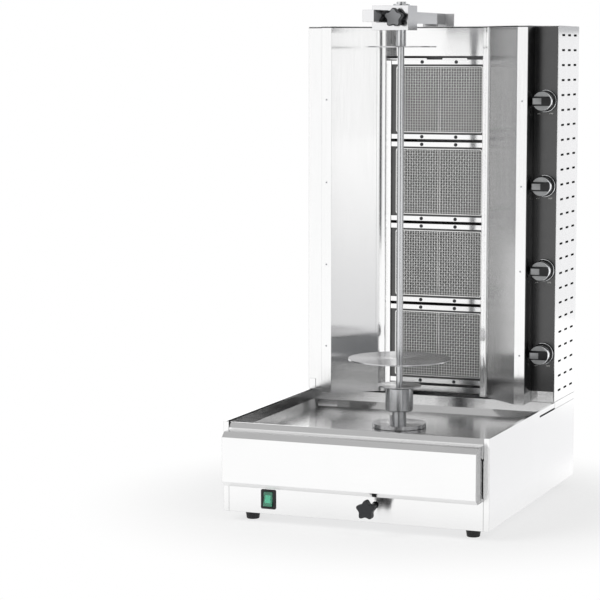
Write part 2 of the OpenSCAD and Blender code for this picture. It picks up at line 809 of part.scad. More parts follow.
// Knob with a stepped skirt, a deep cap and a grip wedge across it
module gas_knob(i) color(black) place() translate([knob_x, knob_back, burner_z(i)]) rotate([90, 0, 0]) {
    cap_z = skirt_t + cap_t;
    bore_z = skirt_t + cap_t / 2 + run;
    rotate_extrude() polygon([
        [stem_d / 2 + run, 0], [skirt_d / 2, 0], [skirt_d / 2, skirt_t], [cap_d / 2, skirt_t],
        [cap_d / 2 - 0.8, cap_z], [0, cap_z], [0, bore_z], [stem_d / 2 + run, bore_z]
    ]);
    intersection() {
        rotate([90, 0, 90]) grip_view(grip_w, grip_top_w / 2, grip_top_w / 2, cap_z);
        rotate([90, 0, 0]) grip_view(cap_d, grip_nose, grip_ramp, cap_z);
        cylinder(d = cap_d - 2, h = cap_z + grip_d + 1);
    }
}

// Switch and cable entry

z_switch = z_base + switch_up;
rocker_y = 3;
bezel_t = 2.5;
bezel_r = 3;
rocker_room = 16;
case_w = rocker_w + 2 * case_wall;
case_h = rocker_h + 2 * case_wall - 2;
pin_x = rocker_w / 2 + case_wall / 2;

module switch_bezel() color(black) place() translate([-switch_x, 0, z_switch]) difference() {
    union() {
        along_y(-bezel_t, 0) rounded(bezel_w, bezel_h, bezel_r);
        along_y(0, case_d) square([case_w, case_h], center = true);
    }
    along_y(-bezel_t - 1, rocker_room) square([rocker_w + 2 * fit, rocker_h + 1 + 2 * fit], center = true);
    translate([0, rocker_y, 0]) along_x(-pin_x - run, pin_x + run) circle(d = pivot_d + 2 * run);
}

module rocker() color(green) place() translate([-switch_x, rocker_y, z_switch]) rotate([-rocker_tilt, 0, 0]) {
    along_x(-rocker_w / 2, rocker_w / 2) polygon([
        [-8.5, -rocker_h / 2 + 1], [-6.5, 0], [-8.5, rocker_h / 2 - 1], [0, rocker_h / 2],
        [6, 3], [6, -3], [0, -rocker_h / 2]
    ]);
    along_x(-pin_x, pin_x) circle(d = pivot_d);
}

gland_l = 8;
gland_nut = 6;
gland_cap = 12;

module cable_gland() color(black) place() difference() {
    union() {
        bar_y(-switch_x, z_switch, gland_d * 0.8, base_d - gland_l, base_d);
        translate([-switch_x, base_d, z_switch]) rotate([-90, 0, 0])
            cylinder(d = gland_d * 1.2, h = gland_nut, $fn = 6);
        translate([-switch_x, base_d + gland_nut, z_switch]) rotate([-90, 0, 0])
            cylinder(d1 = gland_d, d2 = gland_d * 0.7, h = gland_cap);
    }
    bar_y(-switch_x, z_switch, gland_d * 0.4, base_d - gland_l - 1, base_d + gland_nut + gland_cap + 1);
}

// Spit drive

carriage_tail = 20;
rail_lip = 10;
rail_end = 20;
motor_gap = 6;
clamp_nut_t = 8;
knob_gap = 8;
dog_w = 6;
dog_t = 5;

module carriage_rails() color(satin) place() both_sides()
    along_y(bay_d + 2 * sheet, wing_y - rail_end) polygon(bent([
        [carriage_w / 2 - rail_lip, z_carriage - fit], [carriage_w / 2 + fit, z_carriage - fit],
        [carriage_w / 2 + fit, z_pan - sheet]
    ], -sheet));

module carriage_plate() color(satin) place() difference() {
    union() {
        wide_slab(carriage_w / 2, leg_y, spit_y + gearbox_w + carriage_tail,
            z_carriage, z_carriage + carriage_t);
        slab([clamp_x - clamp_d, leg_y, z_clamp - clamp_d],
            [clamp_x + clamp_d, leg_y + carriage_t, z_carriage]);
    }
    bar_z(spindle_d + 2, z_carriage - 1, z_carriage + carriage_t + 1);
}

module gear_motor() color(black) place() difference() {
    union() {
        slab([-gearbox_w / 2, leg_y + carriage_t + 1, z_gearbox],
            [gearbox_w / 2, spit_y + gearbox_w, z_carriage]);
        translate([0, spit_y + gearbox_w / 2, z_base + sheet + motor_gap])
            cylinder(d = motor_d, h = z_gearbox - z_base - sheet - motor_gap);
    }
    bar_z(spindle_d + 2 * run, z_carriage - socket, z_carriage + 1);
}

module clamp_rod() color(steel) place() {
    bar_y(clamp_x, z_clamp, clamp_d, star_t / 2 - knob_reach, leg_y);
    translate([clamp_x, leg_y - clamp_nut_t, z_clamp]) rotate([-90, 0, 0])
        cylinder(d = clamp_d * 1.8, h = clamp_nut_t, $fn = 6);
}

// Plan of a star knob: a round core with lobes on tapering arms
module star() {
    lobe = star_d * 0.15;
    reach = star_d / 2 - lobe;
    circle(d = star_d * 0.66);
    for (a = [0 : star_lobes - 1]) rotate(a * 360 / star_lobes + 18) {
        translate([reach, 0]) circle(lobe);
        polygon([[0, -star_d * 0.3], [reach, -lobe], [reach, lobe], [0, star_d * 0.3]]);
    }
}

// Star knob with its face at y0 and a hub down to y1
module star_knob(x, z, y0, y1, bore, bore_y) difference() {
    union() {
        translate([x, 0, z]) along_y(y0, y0 + star_t) star();
        translate([x, y0 + star_t, z]) rotate([-90, 0, 0])
            cylinder(d1 = star_d * 0.56, d2 = star_d * 0.4, h = y1 - y0 - star_t);
    }
    bar_y(x, z, bore, bore_y, y1 + 1);
}

module front_knob() color(black) place()
    star_knob(clamp_x, z_clamp, -knob_reach, -spit_travel - knob_gap,
        clamp_d + 2 * run, star_t / 2 - knob_reach - run);

module drive_shaft() color(steel) place() {
    bar_z(spindle_d, z_carriage - socket + fit, z_shaft);
    bar_z(shaft_d, z_shaft, z_cup + socket - fit);
}

// Dished turntable that covers the drive slot's collar, with a driving dog
module turntable() color(satin) place() {
    difference() {
        bar_z(turntable_d, z_turntable, z_shaft);
        bar_z(turntable_d - 6, z_turntable - 1, z_shaft - disc_t);
        bar_z(spindle_d + 2 * run, z_turntable - 1, z_shaft + 1);
    }
    translate([-shaft_d / 2 - dog_t - table_gap, spit_y - dog_w / 2, z_shaft]) cube([dog_t, dog_w, dog_h]);
}

module spit_cup() color(steel) place() translate([0, spit_y, z_cup]) rotate_extrude() polygon([
    [shaft_d / 2 + run, 0], [cup_d / 2 - cup_edge, 0], [cup_d / 2, cup_edge], [cup_d / 2, cup_h - cup_edge],
    [cup_d / 2 - cup_edge, cup_h], [rod_d / 2 + run, cup_h], [rod_d / 2 + run, cup_h - rod_seat],
    [0, cup_h - rod_seat], [0, socket], [shaft_d / 2 + run, socket]
]);

module splash_disc() color(steel) place() translate([0, spit_y, z_rod]) rotate_extrude() polygon([
    [rod_d / 2 + run, 0], [rod_d, 0], [rod_d, splash_hub], [splash_d / 2, splash_hub],
    [splash_d / 2, splash_hub + disc_t], [rod_d / 2 + run, splash_hub + disc_t]
]);

module spit_rod() color(bright) place() bar_z(rod_d, z_rod - rod_seat + run, z_sleeve_top - rod_short);

module meat_disc() color(steel) place() translate([0, spit_y, z_meat]) rotate_extrude() polygon([
    [rod_d / 2 + run, -hub_h], [rod_d * 1.2, -hub_h], [rod_d * 1.2, 0], [meat_d / 2, 0],
    [meat_d / 2, disc_t], [rod_d / 2 + run, disc_t]
]);

// Top bearing

arm_x0 = -arm_off - arm_w / 2;
arm_x1 = arm_x0 + arm_w;
arm_y0 = spit_y - arm_reach;
ear_t = 3;
ear_w = 14;
pad_rim = 6;
arm_y1 = base_d - ear_t - 2;
screw_rod = 8;
screw_seat = 12;
top_knob_l = 28;
collar_t = 3;

module top_arm() color(bright) place() difference() {
    slab([arm_x0, arm_y0, z_arm], [arm_x1, arm_y1, z_arm + arm_w]);
    slab([arm_x0 + arm_wall, arm_y0 + arm_wall, z_arm + arm_wall],
        [arm_x1 - arm_wall, arm_y1 + 1, z_arm + arm_w - arm_wall]);
}

module arm_bracket() color(steel) place() {
    ear_x = arm_x1 + pad_rim + ear_w;
    slab([arm_x0 - pad_rim, arm_y1 - pad_l, z_roof], [arm_x1 + pad_rim, arm_y1 + ear_t, z_arm]);
    slab([arm_x0 - pad_rim, arm_y1, z_arm], [ear_x, arm_y1 + ear_t, z_arm + arm_w]);
    slab([arm_x1 + pad_rim, arm_y1, z_roof], [ear_x, arm_y1 + ear_t, z_arm]);
}

module bearing_block() color(bright) place() difference() {
    slab([arm_x0 - block_wall, block_y, z_block],
        [sleeve_d / 2 + 1.4 * block_wall, block_y + block_d, z_block_top]);
    slab([arm_x0 - fit, block_y - 1, z_arm - fit],
        [arm_x1 + fit, block_y + block_d + 1, z_arm + arm_w + fit]);
    bar_z(sleeve_d + 2 * run, z_block - 1, z_block_top + 1);
    bar_y(0, z_top_knob, screw_rod + 2 * run, block_y - 1, spit_y);
}

module bearing_sleeve() color(bright) place() difference() {
    union() {
        bar_z(sleeve_d, z_sleeve_top - sleeve_l, z_sleeve_top);
        bar_z(collar_d, z_block_top + fit, z_block_top + fit + collar_t);
    }
    bar_z(rod_d + 2 * run, z_sleeve_top - sleeve_l - 1, z_sleeve_top + 1);
}

module upper_disc() color(steel) place() difference() {
    bar_z(upper_d, z_sleeve_top - sleeve_l, z_sleeve_top - sleeve_l + disc_t);
    bar_z(sleeve_d + 2 * run, z_sleeve_top - sleeve_l - 1, z_sleeve_top);
}

module top_knob() color(black) place() {
    star_knob(0, z_top_knob, block_y - top_knob_l, block_y - 1, screw_rod, block_y - screw_seat);
    bar_y(0, z_top_knob, screw_rod, block_y - screw_seat, spit_y - sleeve_d / 2 - fit);
}

base_side_left();
base_side_right();
front_fascia();
base_floor();
base_rear();
drawer_bay();
juice_pan();
feet();
housing_plinth();
housing_side_left();
housing_side_right();
housing_rear();
housing_top();
wing_left();
wing_right();
control_panel();
upper_cover();
lower_cover();
burner_body(1);  // burner_body_1
burner_body(2);  // burner_body_2
burner_body(3);  // burner_body_3
burner_body(4);  // burner_body_4
ceramic_plates();
burner_meshes();
burner_rails();
rail_screws();
gas_manifold();
gas_taps();
feed_pipes();
gas_inlet();
cable_gland();
switch_bezel();
rocker();
top_arm();
arm_bracket();
carriage_rails();
carriage_plate();
gear_motor();
clamp_rod();
front_knob();
drive_shaft();
turntable();
spit_cup();
splash_disc();
spit_rod();
meat_disc();
bearing_block();
bearing_sleeve();
upper_disc();
top_knob();
drawer_front();
drawer_tray();
tap_stem(1);  // tap_stem_1
tap_stem(2);  // tap_stem_2
tap_stem(3);  // tap_stem_3
tap_stem(4);  // tap_stem_4
gas_knob(1);  // gas_knob_1
gas_knob(2);  // gas_knob_2
gas_knob(3);  // gas_knob_3
gas_knob(4);  // gas_knob_4
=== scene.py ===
"""Vertical kebab grill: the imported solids, dressed, with the finely shaped pieces that they carry."""

import logging
import math
from contextlib import contextmanager
from dataclasses import dataclass
from enum import Enum
from typing import Any, Callable, Iterator, Sequence

import bmesh
import bpy
from mathutils import Matrix, Vector


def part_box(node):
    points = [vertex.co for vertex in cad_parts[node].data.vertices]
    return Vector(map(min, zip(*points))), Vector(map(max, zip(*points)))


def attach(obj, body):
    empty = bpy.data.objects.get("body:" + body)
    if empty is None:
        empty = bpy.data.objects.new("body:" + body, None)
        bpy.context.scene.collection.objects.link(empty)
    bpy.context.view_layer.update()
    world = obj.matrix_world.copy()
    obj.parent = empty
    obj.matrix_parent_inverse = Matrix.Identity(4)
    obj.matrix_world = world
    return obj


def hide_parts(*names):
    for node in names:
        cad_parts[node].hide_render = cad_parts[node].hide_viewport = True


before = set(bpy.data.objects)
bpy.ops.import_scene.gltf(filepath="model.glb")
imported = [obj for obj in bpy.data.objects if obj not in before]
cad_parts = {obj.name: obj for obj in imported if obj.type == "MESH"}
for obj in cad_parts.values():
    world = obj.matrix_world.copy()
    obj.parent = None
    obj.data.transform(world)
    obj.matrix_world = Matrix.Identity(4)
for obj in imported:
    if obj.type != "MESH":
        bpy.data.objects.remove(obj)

LOG = logging.getLogger("kebab_grill")
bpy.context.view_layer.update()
MM = 0.001
SPIT_X, SPIT_Y = 0.0, -0.025
BURNERS = 4
MATHS, VECTORS = "ShaderNodeMath", "ShaderNodeVectorMath"

Object = bpy.types.Object
Tree = bpy.types.NodeTree
Node = bpy.types.Node
Place = Sequence[float]
Profile = tuple[tuple[float, float], ...]


class Axis(Enum):
    """The direction a turned piece points in, as the turn from +Z."""

    UP = (0.0, 0.0, 0.0)
    FRONT = (math.pi / 2, 0.0, 0.0)
    BACK = (-math.pi / 2, 0.0, 0.0)


class Pick(Enum):
    """What a selection in edit mode is made of."""

    FACES = "FACE"
    EDGES = "EDGE"
    POINTS = "VERT"


class Grain(Enum):
    """The direction that the rolling or brushing lines of a sheet run in."""

    LEVEL = (1, 0, 0)
    DEEP = (0, 1, 0)
    UPRIGHT = (0, 0, 1)


class Shade(Enum):
    """How the grey of a studio card runs."""

    ALONG = "from one end to the other"
    UP = "from its foot to its top"
    MIDDLE = "from the middle to both ends"


def linear(code: str) -> tuple[float, float, float, float]:
    """Turns an sRGB hex colour to linear light.

    Args:
        code: The colour as "#RRGGBB".

    Returns:
        Red, green, blue and an alpha of 1.
    """
    shares = [int(code[i:i + 2], 16) / 255 for i in (1, 3, 5)]
    light = [s / 12.92 if s <= 0.04045 else ((s + 0.055) / 1.055) ** 2.4 for s in shares]
    return (light[0], light[1], light[2], 1.0)


def add_node(tree: Tree, kind: str, links: dict | None = None, values: dict | None = None,
             **settings: Any) -> Node:
    """Adds a node with its settings, its input values and its links.

    Args:
        tree: The node tree that gets the node.
        kind: Blender's name for the node.
        links: Input name or number to the socket that feeds it.
        values: Input name or number to its constant.
        settings: Properties of the node itself.

    Returns:
        The new node.
    """
    node = tree.nodes.new(kind)
    for name, value in settings.items():
        setattr(node, name, value)
    for key, value in (values or {}).items():
        node.inputs[key].default_value = value
    for key, socket in (links or {}).items():
        tree.links.new(socket, node.inputs[key])
    return node


def reckon(tree: Tree, kind: str, operation: str, *inputs: Any) -> Node:
    """Adds a maths node whose inputs are sockets or constants."""
    links = {i: value for i, value in enumerate(inputs) if isinstance(value, bpy.types.NodeSocket)}
    values = {i: value for i, value in enumerate(inputs) if i not in links}
    return add_node(tree, kind, links, values, operation=operation)


def object_place(tree: Tree) -> Any:
    """The place on the object, in its own metres."""
    return add_node(tree, "ShaderNodeTexCoord").outputs["Object"]


def noise(tree: Tree, place: Any, size_mm: float, **values: float) -> Any:
    """Noise in patches of about a given size."""
    values["Scale"] = 1 / (size_mm * MM)
    return add_node(tree, "ShaderNodeTexNoise", {"Vector": place}, values).outputs["Fac"]


def mixed(tree: Tree, share: Any, start: Any, end: str) -> Any:
    """Mixes a hex colour or a socket with a hex colour, by a share."""
    links, values = {0: share}, {7: linear(end)}
    if isinstance(start, str):
        values[6] = linear(start)
    else:
        links[6] = start
    return add_node(tree, "ShaderNodeMix", links, values, data_type="RGBA").outputs[2]


def ramp(tree: Tree, value: Any, source: tuple[float, float] = (0.0, 1.0),
         target: tuple[float, float] = (0.0, 1.0), kind: str = "LINEAR") -> Any:
    """Maps a socket from one range to another, held at its ends."""
    ends = dict(zip(("From Min", "From Max", "To Min", "To Max"), (*source, *target)))
    return add_node(tree, "ShaderNodeMapRange", {"Value": value}, ends, interpolation_type=kind).outputs[0]


def bump(tree: Tree, height: Any, normal: Any, strength: float, deep_mm: float, **settings: Any) -> Any:
    """Tilts a normal by a height pattern."""
    return add_node(tree, "ShaderNodeBump", {"Height": height, "Normal": normal},
                    {"Strength": strength, "Distance": deep_mm * MM}, **settings).outputs[0]


@dataclass(frozen=True)
class Finish:
    """A surface: its material's name and the edge rounding that light shows on it."""

    name: str
    edge_mm: float = 0.6

    def material(self) -> bpy.types.Material:
        """Makes the material once and gives the same one after that.

        Returns:
            The material, named for what the surface is.
        """
        found = bpy.data.materials.get(self.name)
        if found:
            return found
        made = bpy.data.materials.new(self.name)
        made.use_nodes = True
        self.paint(made.node_tree, made.node_tree.nodes["Principled BSDF"])
        return made

    def paint(self, tree: Tree, shader: Node) -> None:
        """Sets and links the shader's sockets; each finish has its own."""
        raise NotImplementedError

    @staticmethod
    def wire(tree: Tree, shader: Node, sockets: dict[str, Any], constants: dict[str, float]) -> None:
        """Sets the shader's constants and links its other sockets."""
        for name, value in constants.items():
            shader.inputs[name].default_value = value
        for name, socket in sockets.items():
            tree.links.new(socket, shader.inputs[name])

    def rounding(self, tree: Tree) -> tuple[Any, Any]:
        """Rounds sharp edges for the light, as a press brake or a mould leaves them.

        Args:
            tree: The material's node tree.

        Returns:
            The rounded normal, and a mask that is 1 on the edges.
        """
        soft = add_node(tree, "ShaderNodeBevel", values={"Radius": self.edge_mm * MM}, samples=6).outputs[0]
        flat = add_node(tree, "ShaderNodeNewGeometry").outputs["Normal"]
        match = reckon(tree, VECTORS, "DOT_PRODUCT", soft, flat).outputs["Value"]
        return soft, ramp(tree, match, (0.995, 0.85))


@dataclass(frozen=True)
class SheetSteel(Finish):
    """Cold-rolled stainless sheet: a near mirror with faint rolling lines and hand smears."""

    grain: Grain = Grain.UPRIGHT
    tone: str = "#D6D6D6"
    shade: str = "#D2D2D2"
    # Edge colour, darker than the sheet: painted shade laid along every edge and bend.
    edge_light_and_wear: str = "#77787A"
    roughness: float = 0.13
    line_mm: float = 0.9
    run_mm: float = 90.0
    smear_mm: float = 130.0

    def paint(self, tree: Tree, shader: Node) -> None:
        """Rolling lines blur reflections, smears dull them in patches, and edges are painted as thin grey
        lines of shade.
        """
        place = object_place(tree)
        # Real rolling lines are some 0.05 mm apart; 0.9 mm is as fine as the picture can hold.
        pitch = [1 / ((self.run_mm if along else self.line_mm) * MM) for along in self.grain.value]
        stretch = add_node(tree, "ShaderNodeMapping", {"Vector": place}, {"Scale": pitch}).outputs[0]
        lines = add_node(tree, "ShaderNodeTexNoise", {"Vector": stretch},
                         {"Scale": 1.0, "Detail": 2.0, "Roughness": 0.6}).outputs["Fac"]
        smears = noise(tree, place, self.smear_mm, Detail=4.0, Distortion=0.4)
        soft, edge = self.rounding(tree)
        tint = mixed(tree, smears, self.shade, self.tone)
        blur = ramp(tree, lines, (0.25, 0.75), (self.roughness * 0.7, self.roughness * 1.3))
        # Reflections smear across the lines, not along them; the small part keeps level faces defined.
        skew = Vector(self.grain.value) + Vector((0.002, 0.003, 0.001))
        self.wire(tree, shader, {
            # The edge mask paints the edge colour: painted shade where it is darker than the sheet, painted
            # highlight where it is lighter.
            "Base Color": mixed(tree, edge, tint, self.edge_light_and_wear),
            "Roughness": reckon(tree, MATHS, "MULTIPLY_ADD", smears, 0.02, blur).outputs[0],
            "Normal": bump(tree, lines, soft, 0.05, 0.03),
            "Tangent": reckon(tree, VECTORS, "CROSS_PRODUCT", skew, soft).outputs[0],
        }, {"Metallic": 1.0, "Anisotropic": 1.0})


@dataclass(frozen=True)
class TurnedSteel(Finish):
    """Stainless bar and disc off the lathe: rings round the spit's axis, polished over."""

    tone: str = "#C1C2C3"
    shade: str = "#B4B5B7"
    edge_light_and_wear: str = "#CCCCCD"
    roughness: float = 0.1
    ring_mm: float = 1.1

    def paint(self, tree: Tree, shader: Node) -> None:
        """Tool rings catch light as fine bands across a bar and as circles on a disc."""
        centred = reckon(tree, VECTORS, "SUBTRACT", object_place(tree), (SPIT_X, SPIT_Y, 0.0)).outputs[0]
        apart = add_node(tree, "ShaderNodeSeparateXYZ", {0: centred})
        flat = add_node(tree, "ShaderNodeCombineXYZ", {0: apart.outputs[0], 1: apart.outputs[1]}).outputs[0]
        radius = reckon(tree, VECTORS, "LENGTH", flat).outputs["Value"]
        along = reckon(tree, MATHS, "ADD", radius, apart.outputs[2]).outputs[0]
        # Tool rings of 0.1 mm would vanish in the picture, so they are drawn 1.1 mm apart.
        rings = add_node(tree, "ShaderNodeTexNoise", {"W": along},
                         {"Scale": 1 / (self.ring_mm * MM), "Detail": 2.0},
                         noise_dimensions="1D").outputs["Fac"]
        soft, edge = self.rounding(tree)
        tint = mixed(tree, rings, self.shade, self.tone)
        # Reflections smear across the rings, so a bar shows upright streaks.
        round_about = reckon(tree, VECTORS, "CROSS_PRODUCT", (0.002, 0.003, 1.0), flat).outputs[0]
        self.wire(tree, shader, {
            # Edges take the lighter edge colour: rubbed wear and painted highlight.
            "Base Color": mixed(tree, edge, tint, self.edge_light_and_wear),
            "Roughness": ramp(tree, rings, target=(self.roughness - 0.02, self.roughness + 0.03)),
            "Normal": bump(tree, rings, soft, 0.012, 0.04),
            "Tangent": reckon(tree, VECTORS, "CROSS_PRODUCT", round_about, soft).outputs[0],
        }, {"Metallic": 1.0, "Anisotropic": 1.0})


@dataclass(frozen=True)
class PlainMetal(Finish):
    """Machined, drawn, plated or cast metal, with tarnish in soft patches."""

    tone: str = "#B9BBBD"
    shade: str = "#8F9194"
    edge_light_and_wear: str = "#DADBDC"
    roughness: float = 0.35
    patch_mm: float = 14.0
    grain_mm: float = 0.8
    grain_deep_mm: float = 0.05
    relief: float = 0.1
    swing: float = 0.07
    least: float = 0.02

    def paint(self, tree: Tree, shader: Node) -> None:
        """Patches of tarnish or handling vary the colour and the gloss, a fine grain breaks the highlight."""
        place = object_place(tree)
        patches = noise(tree, place, self.patch_mm, Detail=3.0)
        grain = noise(tree, place, self.grain_mm, Detail=2.0)
        soft, edge = self.rounding(tree)
        tint = mixed(tree, patches, self.shade, self.tone)
        gloss = (self.roughness + self.swing, max(self.roughness - self.swing, self.least))
        self.wire(tree, shader, {
            # Edges take the edge colour: rubbed wear, and painted highlight where it is lighter than the
            # surface.
            "Base Color": mixed(tree, edge, tint, self.edge_light_and_wear),
            "Roughness": ramp(tree, patches, target=gloss),
            "Normal": bump(tree, grain, soft, self.relief, self.grain_deep_mm),
        }, self.constants())

    def constants(self) -> dict[str, float]:
        """The shader's constants."""
        return {"Metallic": 1.0}


@dataclass(frozen=True)
class Moulding(PlainMetal):
    """Moulded, enamelled or printed surface: a dielectric with a grain left by its mould or kiln."""

    tone: str = "#1B1C1E"
    shade: str = "#141517"
    edge_light_and_wear: str = "#2C2D30"
    roughness: float = 0.42
    patch_mm: float = 22.0
    grain_mm: float = 0.7
    grain_deep_mm: float = 0.06
    relief: float = 0.18
    swing: float = 0.06
    least: float = 0.03
    ior: float = 1.5
    coat: float = 0.0

    def constants(self) -> dict[str, float]:
        """The shader's constants."""
        return {"IOR": self.ior, "Coat Weight": self.coat}


@dataclass(frozen=True)
class BurnerCeramic(Finish):
    """Pressed ceramic plate: matt, pale, pierced by rows of flame ports."""

    tone: str = "#A3A3A2"
    shade: str = "#8B8B8A"
    # The ports' colour is painted shade, standing in for the depth of each hole.
    painted_port_shade: str = "#3A3A3A"
    port_mm: float = 3.6
    scorch_mm: float = 45.0

    def paint(self, tree: Tree, shader: Node) -> None:
        """Flame ports painted dark as painted shade, with a sunken bump, on a matt, slightly scorched plate.
        """
        place = object_place(tree)
        cells = add_node(tree, "ShaderNodeTexVoronoi", {"Vector": place},
                         {"Scale": 1 / (self.port_mm * MM), "Randomness": 0.0}).outputs["Distance"]
        hole = ramp(tree, cells, (0.3, 0.22))
        scorch = noise(tree, place, self.scorch_mm, Detail=4.0)
        soft, _ = self.rounding(tree)
        tint = mixed(tree, scorch, self.shade, self.tone)
        self.wire(tree, shader, {
            "Base Color": mixed(tree, hole, tint, self.painted_port_shade),
            "Normal": bump(tree, hole, soft, 0.6, 0.5, invert=True),
        }, {"Roughness": 0.85})


# Bright-rolled stainless: reads as white metal with the room in it.
SHEET_UPRIGHT = SheetSteel("stainless_sheet_rolled_upright")
SHEET_LEVEL = SheetSteel("stainless_sheet_rolled_level", grain=Grain.LEVEL)
SHEET_DEEP = SheetSteel("stainless_sheet_rolled_deep", grain=Grain.DEEP)
# The roof's edge takes a near-black edge colour: a painted shade line along the top.
SHEET_ROOF = SheetSteel("stainless_sheet_painted_shade_edge", grain=Grain.LEVEL, edge_light_and_wear="#38393B", edge_mm=0.9)
# Mill-finish stainless inside and behind: greyer, with blurred reflections.
SHEET_MILL = SheetSteel("stainless_sheet_mill", grain=Grain.LEVEL, tone="#AEAEB0", shade="#A2A2A4",
                        roughness=0.25)
# Burner casings: dull and dark grey behind the bright rails.
SHEET_DARK_GREY = SheetSteel("stainless_sheet_heat_darkened", grain=Grain.LEVEL, tone="#585858", shade="#474747",
                          edge_light_and_wear="#6E6E6E", roughness=0.33)
# Square tube and block, ground and polished: a little greyer than the sheet.
BAR_GROUND = SheetSteel("stainless_bar_ground", grain=Grain.DEEP, tone="#CCCCCD", shade="#C4C4C5",
                        roughness=0.1, line_mm=0.7, run_mm=40.0)
# Turned and polished bar: hard bright and dark streaks.
BAR_TURNED = TurnedSteel("stainless_bar_turned", roughness=0.15)
# Turned plate: satin circles under the meat.
DISC_TURNED = TurnedSteel("stainless_disc_turned", roughness=0.2, tone="#B8B8B9", shade="#A9A9AA")
# Woven wire that has been red hot: pale grey without much shine.
WIRE_HEATED = PlainMetal("steel_wire_heat_dulled", edge_mm=0.1, tone="#DADAD9", shade="#C9C9C8",
                         edge_light_and_wear="#DEDEDD", roughness=0.32, patch_mm=30.0)
# Frame strip round the wire, pressed from sheet and heated with it.
FRAME_HEATED = PlainMetal("steel_strip_heat_dulled", edge_mm=0.3, tone="#C4C4C3", shade="#B4B4B3",
                          roughness=0.2, patch_mm=30.0)
# Blackened screws: dark heads with a dull shine.
SCREW_BLACK = PlainMetal("steel_screw_blackened", edge_mm=0.3, tone="#4A4B4D", shade="#333436",
                         edge_light_and_wear="#7C7D7F", roughness=0.4, patch_mm=4.0)
# Blackened clamp rod: nearly black, with a dull shine.
ROD_BLACK = PlainMetal("steel_rod_blackened", edge_mm=0.3, tone="#3C3D3F", shade="#2B2C2E",
                       edge_light_and_wear="#6C6D6F", roughness=0.35, patch_mm=8.0)
# Bead-blasted bracket: pale and without reflections.
BRACKET = PlainMetal("stainless_plate_bead_blasted", edge_mm=0.5, tone="#CDCDCE", shade="#C4C4C5",
                     edge_light_and_wear="#D2D2D2", roughness=0.55, patch_mm=20.0)
# Zinc-plated screws and rivets: pale grey.
SCREW_ZINC = PlainMetal("steel_screw_zinc_plated", edge_mm=0.2, tone="#A9ABAD", shade="#929496",
                        roughness=0.3, patch_mm=4.0)
# Plated cap of each gas knob and the ring under it: mirror bright.
CHROME = PlainMetal("steel_ring_chromed", edge_mm=0.4, tone="#D8D9DA", shade="#CFD0D2", edge_light_and_wear="#DFDFDF",
                    roughness=0.09, patch_mm=12.0, relief=0.02)
# Anodised plate in the knobs' faces: satin mid grey.
ANODISED = PlainMetal("aluminium_plate_anodised", edge_mm=0.3, tone="#888989", shade="#7B7C7D",
                      edge_light_and_wear="#969798", roughness=0.42, patch_mm=9.0, grain_mm=0.5)
# Machined brass: yellow, faintly browned.
BRASS = PlainMetal("brass_machined", tone="#C6A765", shade="#A98A4B", edge_light_and_wear="#DCC48C", roughness=0.28)
# Painted die casting of the gearbox: black with a sand-cast grain.
CASTING = Moulding("aluminium_casting_painted", tone="#2A2B2D", shade="#1D1E20", roughness=0.55,
                   grain_mm=1.6, relief=0.4)
# Black enamel on the control panel: half matt, so that it greys towards the light; its grey edge colour is a
# painted highlight along the bends.
ENAMEL = Moulding("steel_panel_black_enamel", edge_mm=0.5, tone="#0C0C0D", shade="#080809",
                  edge_light_and_wear="#4A4B4D", roughness=0.24, grain_mm=3.0, relief=0.01, ior=1.72)
# Moulded thermoset of knobs and switch: satin black.
THERMOSET = Moulding("thermoset_moulded_black", edge_mm=0.5, tone="#101112", shade="#0B0B0C",
                     edge_light_and_wear="#2A2B2D", ior=1.4)
# Grained knob moulding: charcoal where light falls on it.
STAR_PLASTIC = Moulding("nylon_moulded_charcoal", edge_mm=0.6, tone="#26272A", shade="#1C1D1F",
                        edge_light_and_wear="#3A3B3E", roughness=0.5, ior=1.42, grain_mm=0.9, relief=0.25)
# The upper star knob's face: a mid grey cover, a painted sheen on the charcoal moulding.
STAR_FACE_SHEEN = Moulding("nylon_moulded_grey_painted_sheen", edge_mm=0.6, tone="#8D8E90", shade="#78797B",
                     edge_light_and_wear="#9C9D9F", roughness=0.45, grain_mm=0.9, relief=0.2)
# Rubber feet, and the black strip of painted shade under the roof: dead black, chalky on the edges.
RUBBER = Moulding("rubber_moulded_black", edge_mm=0.8, tone="#1A1A1B", shade="#111112",
                  edge_light_and_wear="#2B2B2C", roughness=0.78, grain_mm=0.5, relief=0.3)
# Rocker case and its lens: deep green moulding and a clearer green window.
GREEN_CASE = Moulding("polycarbonate_moulded_green", edge_mm=0.5, tone="#12805F", shade="#0E6A4E",
                      edge_light_and_wear="#2E9C7B", roughness=0.22, grain_mm=2.0, relief=0.05, ior=1.58, coat=0.4)
GREEN_LENS = Moulding("polycarbonate_lens_green", edge_mm=0.5, tone="#46C79C", shade="#39B88D",
                      edge_light_and_wear="#6AD6B2", roughness=0.2, grain_mm=2.0, relief=0.05, ior=1.58, coat=0.5)
# Screen-printed scale marks: matt off-white.
PRINT = Moulding("ink_screen_printed_white", edge_mm=0.05, tone="#CFCFCC", shade="#BDBDBA",
                 edge_light_and_wear="#CFCFCC", roughness=0.6, grain_mm=0.3, relief=0.05)
# Burner plates: matt grey with rows of ports painted dark as shade, behind the nets.
CERAMIC = BurnerCeramic("ceramic_plate_pressed")


def deselect() -> None:
    """Leaves edit mode and selects nothing."""
    if bpy.context.object and bpy.context.object.mode != "OBJECT":
        bpy.ops.object.mode_set(mode="OBJECT")
    bpy.ops.object.select_all(action="DESELECT")


def focus(*pieces: Object) -> None:
    """Selects pieces and nothing else, and makes the first one active."""
    deselect()
    for piece in pieces:
        piece.select_set(True)
    bpy.context.view_layer.objects.active = pieces[0]


def settle(name: str) -> Object:
    """Names the active piece and puts its place, turn and scale into its mesh."""
    piece = bpy.context.object
    piece.name = piece.data.name = name
    bpy.ops.object.transform_apply(location=True, rotation=True, scale=True)
    return piece


